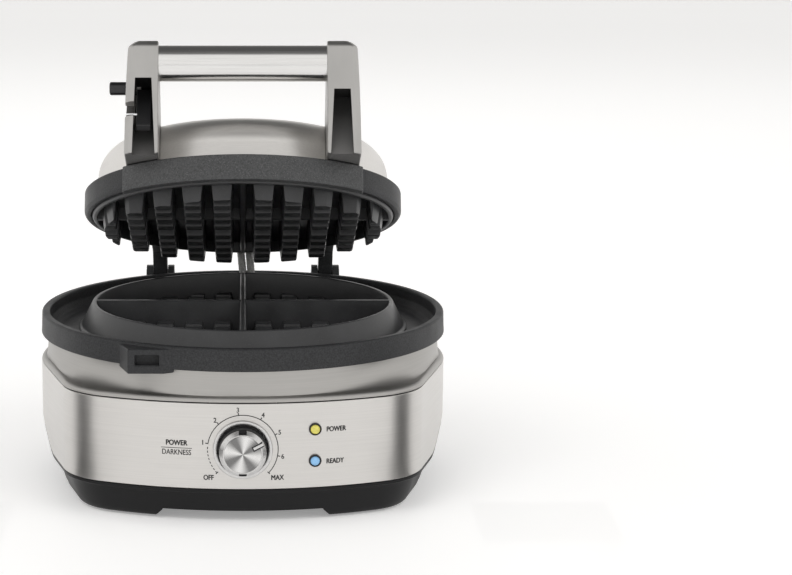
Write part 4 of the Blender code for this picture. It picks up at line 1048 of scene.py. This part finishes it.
# ---- hinges ------------------------------------------------------------------------------------
def hinges():
    """Brackets on the ring, pins, and the lid's arms that turn on the pins."""
    foot_z = RING_TOP - 11.4
    ring_r = RING_R + 0.5 + GAP
    lid_r = LID_R + GAP
    for tag, side in (("left", -1.0), ("right", 1.0)):
        cx = side * BRACKET_X
        outline = [
            (98.0, foot_z), (126.0, foot_z), (129.6, foot_z + 5.0), (129.6, HINGE.z + 1.0),
            (126.0, HINGE.z + 4.6), (118.5, HINGE.z + 4.6), (113.5, HINGE.z - 0.6), (98.0, HINGE.z - 0.6),
        ]
        shape = side_prism(soften(outline, 2.2, 4), cx - 9.0, cx + 9.0)
        bracket = start_piece(f"bracket_{tag}", shape, "base")
        low, high = foot_z - 9.0, HINGE.z + 9.0
        seat = turned([(0.0, low), (ring_r, low), (ring_r, high), (0.0, high)], 192)
        combine(bracket, seat)
        combine(bracket, box(cx - 5.0, cx + 5.0, 90.0, 140.0, HINGE.z - 7.4, HINGE.z + 20.0))
        combine(bracket, rod((cx - 12.0, HINGE.y, HINGE.z), (cx + 12.0, HINGE.y, HINGE.z), 2.4))
        end_piece(bracket, "hinge", "base", (f"hinge_bracket_{tag}",), 0.5)
        pin = rod((cx - 9.4, HINGE.y, HINGE.z), (cx + 9.4, HINGE.y, HINGE.z), 2.2, 40, 0.5, 0.5)
        piece(f"pin_{tag}", pin, "zinc", "base", (f"hinge_pin_{tag}",))
        outline = arc(HINGE.y, HINGE.z, 6.2, -110.0, 70.0, 18) + [
            (112.0, LID_RING_TOP - 4.0), (104.0, LID_RING_TOP - 1.0), (70.0, LID_RING_TOP - 1.0),
            (70.0, LID_RING_LOW + 1.0), (104.0, LID_RING_LOW), (112.0, RING_TOP + 2.2),
        ]
        arm = start_piece(f"lid_arm_{tag}", side_prism(soften(outline, 2.0, 4), cx - 4.6, cx + 4.6), "lid")
        low, high = LID_RING_LOW - 9.0, LID_RING_TOP + 9.0
        combine(arm, turned([(0.0, low), (lid_r, low), (lid_r, high), (0.0, high)], 192))
        combine(arm, rod((cx - 12.0, HINGE.y, HINGE.z), (cx + 12.0, HINGE.y, HINGE.z), 2.5))
        end_piece(arm, "hinge", "lid", (f"lid_hinge_arm_{tag}",), 0.6)


# ---- lid ---------------------------------------------------------------------------------------
def lid_ring():
    low, top = LID_RING_LOW, LID_RING_TOP
    profile = [
        (LID_R, low), (LID_R, top), (84.0, top), (84.0, top - 3.0),
        (92.0, top - 3.0), (92.0, low - 1.8), (95.0, low - 1.8),
    ]
    ring = start_piece("lid_casting", turned(soften(profile, 0.9), 192), "lid")
    end_piece(ring, "ring", "lid", ("lid_ring",))
    half = math.degrees(math.asin(BOSS_HALF_WIDTH / BOSS_R))
    outer = arc(0.0, 0.0, BOSS_R, -90.0 - half, -90.0 + half, 80)
    inner_half = math.degrees(math.asin(BOSS_HALF_WIDTH / 94.0))
    inner = arc(0.0, 0.0, 94.0, -90.0 + inner_half, -90.0 - inner_half, 60)
    boss = start_piece("lid_boss", prism(outer + inner, MATE_Z + GAP, MATE_Z + 15.2), "lid")
    end_piece(boss, "boss", "lid", (), 0.7, 3)


def dome_profile(grow):
    """Outer profile of the dome from its foot to its centre, grown outwards by grow."""
    points = [(DOME_R + grow, LID_RING_TOP + GAP)]
    centre_r = 88.2 - DOME_FILLET
    centre_z = DOME_TOP - DOME_FILLET
    points += arc(centre_r, centre_z, DOME_FILLET + grow, 3.0, 86.0, 20)
    last_r, last_z = points[-1]
    for i in range(1, 13):
        r = last_r * (1.0 - i / 12.0)
        points.append((r, last_z + DOME_CROWN * (1.0 - (r / last_r) ** 2)))
    return points


def dome_cover():
    bm = turned(dome_profile(0.0) + dome_profile(-SHEET)[::-1], 192)
    piece("dome_sheet", bm, "dome", "lid", ("dome_cover",), smooth_deg=50.0)


def arm_blank(side):
    """A handle arm before its recess is cut: a tapered fin with a chamfered outer front edge."""
    stations = [
        # height over the mating plane, front y, rear y, outer x
        (15.9, -99.0, -40.0, ARM_OUT_X + 0.6),
        (30.0, -102.0, -46.0, ARM_OUT_X + 0.2),
        (46.0, -105.0, -54.0, ARM_OUT_X - 0.2),
        (62.0, -106.5, -70.0, ARM_OUT_X - 0.8),
        (77.8, -107.5, -82.0, ARM_OUT_X - 1.6),
        (81.4, -104.5, -85.0, ARM_OUT_X - 5.0),
    ]
    cut = 3.0
    loops = []
    for h, front, rear, out in between(stations[:5], 4) + [stations[5]]:
        plan = [(ARM_IN_X, front), (out - cut, front), (out, front + cut), (out, rear), (ARM_IN_X, rear)]
        loops.append([(side * x, y, MATE_Z + h) for x, y in plan])
    return loops_to_bmesh(loops)


def recess(side):
    """The wedge cut from the front of an arm; the left one takes the latch."""
    x_mid = side * abs(LATCH_X)
    if side < 0:
        top_h, floor = 58.7, ((-94.6, RECESS_LOW_H), (-69.0, 58.7))
    else:
        top_h, floor = 52.3, ((-97.6, RECESS_LOW_H), (-88.0, 43.0))
    wide_low, wide_high = 6.6, 4.7
    (y0, h0), (y1, h1) = floor
    outline = [(-120.0, h0), (y0, h0), (y1, h1)]
    if h1 < top_h:
        outline.append((y1, top_h))
    outline.append((-120.0, top_h))
    loops = []
    for face in (-1.0, 1.0):
        loop = []
        for y, h in outline:
            half = wide_low + (wide_high - wide_low) * (h - h0) / (top_h - h0)
            loop.append((x_mid + face * half, y, MATE_Z + h))
        loops.append(loop)
    return loops_to_bmesh(loops)


def in_painted_shade_recess(point, side):
    """Whether a point is between the planes of a recess's sides; the arm's rear face is not left out."""
    rise = point.z - MATE_Z - RECESS_LOW_H
    half_width = 6.9 - 0.042 * rise
    front = -98.6 - 0.16 * rise
    return abs(point.x - side * abs(LATCH_X)) < half_width and point.y > front and -0.2 < rise < 44.4


def handle_arm(tag, side):
    arm = start_piece(f"handle_fin_{tag}", arm_blank(side), "lid")
    mod = arm.modifiers.new("bevel", "BEVEL")
    mod.width = 1.1 * MM
    mod.segments = 4
    mod.limit_method = "ANGLE"
    mod.angle_limit = math.radians(30.0)
    settle(arm)
    dome = [(0.0, LID_RING_TOP - 6.0), (DOME_R + 0.35, LID_RING_TOP - 6.0)] + dome_profile(0.35)
    combine(arm, turned(dome, 192))
    combine(arm, recess(side))
    combine(arm, rod((side * 40.0, BAR_Y, BAR_Z), (side * 52.0, BAR_Y, BAR_Z), BAR_R + GAP, 96))
    if side < 0:
        combine(arm, latch_slot())
        mouth = [(-115.0, MATE_Z + 37.4), (-93.0, MATE_Z + 36.8),
                 (-93.0, MATE_Z + 44.8), (-115.0, MATE_Z + 45.2)]
        combine(arm, side_prism(mouth, -75.0, LATCH_X - 2.0))
    end_piece(arm, "cast", "lid", (f"handle_arm_{tag}",), 0.35, 2, 30.0)
    # faces inside the recess take the copy of the casting with painted shade
    arm.data.materials.append(PAINTS["hollow"].mat)
    for face in arm.data.polygons:
        if in_painted_shade_recess(face.center / MM, side):
            face.material_index = 1


def latch_back():
    """Unit vector across the latch's travel, pointing to the lid's back."""
    back = Vector((0.0, LATCH_DIR.z, -LATCH_DIR.y))
    return back if back.y > 0.0 else -back


def latch_slot():
    centre = LATCH_ANCHOR + latch_back() * 2.3
    start = centre - LATCH_DIR * 0.3
    end = centre + LATCH_DIR * (LATCH_TRAVEL + 0.3)
    along = math.degrees(math.atan2(LATCH_DIR.z, LATCH_DIR.y))
    outline = arc(start.y, start.z, PEG_R + 0.4, along + 90.0, along + 270.0, 20)
    outline += arc(end.y, end.z, PEG_R + 0.4, along - 90.0, along + 90.0, 20)
    return side_prism(outline, -75.0, LATCH_X - 2.0)


def handle():
    for tag, side in (("left", -1.0), ("right", 1.0)):
        handle_arm(tag, side)
    bar = rod((-51.7, BAR_Y, BAR_Z), (51.7, BAR_Y, BAR_Z), BAR_R, 128, 0.5, 0.5)
    piece("grip_bar", bar, "bar", "lid", ("handle_bar",))


def latch():
    """Slider in the left arm's recess, the thumb peg, and the detent wire."""
    back = latch_back()
    half, thick = 4.3, 4.6
    top = LATCH_ANCHOR + LATCH_DIR * 3.0
    foot = LATCH_ANCHOR + LATCH_DIR * 33.0
    loops = []
    for at in (top, foot):
        corners = []
        for sx, sb in ((-1, 0), (1, 0), (1, 1), (-1, 1)):
            corners.append(at + Vector((sx * half, 0, 0)) + back * (sb * thick))
        loops.append(corners)
    piece("latch_bar", loops_to_bmesh(loops), "black", "latch", ("latch_slider",), 0.5)
    centre = LATCH_ANCHOR + back * (thick / 2.0)
    at = (centre.y, centre.z)
    peg = rod((LATCH_X - half - GAP, *at), (-77.5, *at), PEG_R, 64, 1.0)
    piece("thumb_peg", peg, "gloss", "latch", ("latch_peg",))
    wire = rod((-66.8, -101.4, MATE_Z + 38.3), (-60.5, -101.4, MATE_Z + 38.2), 0.8, 24, 0.3, 0.3)
    piece("detent_wire", wire, "spring_steel", "lid", ("latch_detent",))


# ---- wire sleeves ------------------------------------------------------------------------------
def tube_along(points, radius, sides):
    loops = []
    for i, point in enumerate(points):
        ahead = points[min(i + 1, len(points) - 1)] - points[max(i - 1, 0)]
        turn = ahead.to_track_quat("Z", "X")
        loop = []
        for k in range(sides):
            angle = 2.0 * math.pi * k / sides
            loop.append(point + turn @ Vector((radius * math.cos(angle), radius * math.sin(angle), 0.0)))
        loops.append(loop)
    return loops_to_bmesh(loops)


def sleeves():
    """Braided sleeves over the lid heater's wires: a core with strands wound both ways round it."""
    turn = Matrix.Translation(HINGE) @ Matrix.Rotation(math.radians(-LID_OPEN_DEG), 4, "X")
    turn = turn @ Matrix.Translation(-HINGE)
    steps = 48
    strands = 8
    twists = 3.2
    for tag, x in (("left", -2.0), ("right", 3.4)):
        low = Vector((x + 3.0, 106.5, RING_TOP - 10.0))
        high = turn @ Vector((x, 98.0, LID_RING_LOW + 6.0))
        bend = Vector((x + 1.5, 113.5, RING_TOP + 6.0))
        line = []
        for i in range(steps + 1):
            t = i / steps
            line.append(low * (1 - t) ** 2 + bend * 2 * t * (1 - t) + high * t ** 2)
        bm = tube_along(line, 2.05, 20)
        for way in (-1.0, 1.0):
            for s in range(strands):
                wound = []
                for i, point in enumerate(line):
                    ahead = line[min(i + 1, steps)] - line[max(i - 1, 0)]
                    frame_turn = ahead.to_track_quat("Z", "X")
                    angle = 2.0 * math.pi * (s / strands + way * twists * i / steps)
                    weave = 2.15 + 0.12 * way * math.sin(8.0 * math.pi * twists * i / steps)
                    out = Vector((weave * math.cos(angle), weave * math.sin(angle), 0.0))
                    wound.append(point + frame_turn @ out)
                join(bm, tube_along(wound, 0.33, 6))
        sleeve = raw_object(f"braided_sleeve_{tag}", bm, Matrix.Identity(4))
        sleeve.data.materials.append(PAINTS["glass_sleeve"].mat)
        sleeve.data.shade_smooth()
        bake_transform(sleeve)
        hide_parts(f"wire_sleeve_{tag}")


# ---- carried-over CAD nodes --------------------------------------------------------------------
def dress_cad_nodes():
    """Hidden and small pieces keep their CAD shape and take a finished material."""
    given = {entry["node"]: entry["material_slot"] for entry in frame["record"]["subparts"]}
    stand_in = {"black_plastic": "black", "polished_metal": "rim", "cast_black": "ring", "nonstick": "plate",
                "brushed_steel": "wrap", "satin_cast": "cast"}
    for name, obj in frame["nodes"].items():
        paint = PAINTS[stand_in.get(given[name], given[name])]
        obj.data.materials.clear()
        obj.data.materials.append(paint.mat)


# ---- stage -------------------------------------------------------------------------------------
def stage():
    """Pale floor, camera, soft sky with two dim bands, and soft lights."""
    bm = bmesh.new()
    bmesh.ops.create_grid(bm, x_segments=2, y_segments=2, size=9000.0)
    floor = raw_object("floor", bm, Matrix.Identity(4))
    floor.location.z = -0.0002
    paint = Paint("floor", (0.93, 0.925, 0.92), 0.6)
    paint.tone(paint.noise((300.0, 300.0, 300.0), 2.0), 0.995, 1.005)
    paint.value("Emission Color", (1.0, 1.0, 1.0, 1.0))
    paint.value("Emission Strength", 0.26)
    floor.data.materials.append(paint.mat)
    for side in (-1.0, 1.0):
        dark_card(side)

    camera = bpy.data.objects.new("camera", bpy.data.cameras.new("camera"))
    bpy.context.scene.collection.objects.link(camera)
    camera.location = (0.0, -1.4705, 0.3986)
    camera.rotation_euler = (math.radians(90.0 - 10.94), 0.0, 0.0)
    camera.data.lens = 112.0
    camera.data.sensor_width = 36.0
    camera.data.shift_x = 0.1934
    bpy.context.scene.camera = camera

    for name, at, size, power, aim in (
        ("key", (-0.9, -1.3, 1.9), 1.2, 9.0, (0.0, 0.0, 0.10)),
        ("fill", (1.3, -0.9, 1.3), 1.2, 5.0, (0.0, 0.0, 0.10)),
        ("back", (0.0, 1.6, 1.6), 1.6, 7.0, (0.0, 0.0, 0.12)),
    ):
        data = bpy.data.lights.new(name, "AREA")
        data.size = size
        data.energy = power
        lamp = bpy.data.objects.new(name, data)
        bpy.context.scene.collection.objects.link(lamp)
        lamp.location = at
        lamp.visible_glossy = False
        lamp.rotation_euler = (Vector(aim) - Vector(at)).to_track_quat("-Z", "Y").to_euler()
    sky()


def dark_card(side):
    """Card beside the object that only shines back from metal: the dark band at a body corner."""
    x = side * 212.0
    low, high = sorted((side * 134.0, x))
    shape = join(box(x - 1.0, x + 1.0, -150.0, -72.0, 0.0, 75.0), box(low, high, -150.0, -72.0, 0.0, 0.6))
    card = raw_object("card_left" if side < 0 else "card_right", shape, Matrix.Identity(4))
    paint = Paint("card", (0.02, 0.02, 0.02), 0.8)
    paint.tone(paint.noise((30.0, 30.0, 30.0)), 0.9, 1.1)
    card.data.materials.append(paint.mat)
    card.visible_camera = False
    card.visible_diffuse = False
    card.visible_shadow = False
    card.visible_transmission = False


def sky():
    """World light by direction: bright all round, dim from high in front, over the top, to high behind."""
    world = bpy.data.worlds.new("sky")
    bpy.context.scene.world = world
    world.use_nodes = True
    tree = world.node_tree
    background = tree.nodes["Background"]

    def math_node(operation, a, b=0.0):
        made = tree.nodes.new("ShaderNodeMath")
        made.operation = operation
        for socket, given in zip(made.inputs, (a, b)):
            if isinstance(given, bpy.types.NodeSocket):
                tree.links.new(given, socket)
            else:
                socket.default_value = given
        return made.outputs[0]

    def steps(fac, stops):
        made = tree.nodes.new("ShaderNodeValToRGB")
        made.color_ramp.interpolation = "EASE"
        for i, (at, level) in enumerate(stops):
            element = made.color_ramp.elements[i] if i < 2 else made.color_ramp.elements.new(at)
            element.position = at
            element.color = (level, level, level, 1.0)
        tree.links.new(fac, made.inputs[0])
        return made.outputs[0]

    apart = tree.nodes.new("ShaderNodeSeparateXYZ")
    tree.links.new(tree.nodes.new("ShaderNodeTexCoord").outputs["Generated"], apart.inputs[0])
    centre = Vector((0.0, 0.34, 0.94))
    share = math_node("MULTIPLY", apart.outputs["Z"], centre.z)
    share = math_node("ADD", share, math_node("MULTIPLY", apart.outputs["Y"], centre.y))
    level = steps(math_node("MAXIMUM", share, 0.0), [(0.0, 1.0), (1.0, 0.10), (0.60, 1.0), (0.78, 0.20)])
    level = math_node("MULTIPLY", level, 1.05)
    tree.links.new(level, background.inputs["Strength"])
    background.inputs["Color"].default_value = (1.0, 0.99, 0.975, 1.0)


def main():
    bpy.context.scene.view_settings.view_transform = "Standard"
    dress_cad_nodes()
    stage()
    base_tray()
    steel_wrap()
    rear_panel()
    shoulder_shell()
    moat_ring()
    lower_plate()
    front_panel()
    knob()
    panel_print()
    hinges()
    lid_ring()
    dome_cover()
    upper_plate()
    handle()
    latch()
    sleeves()


main()
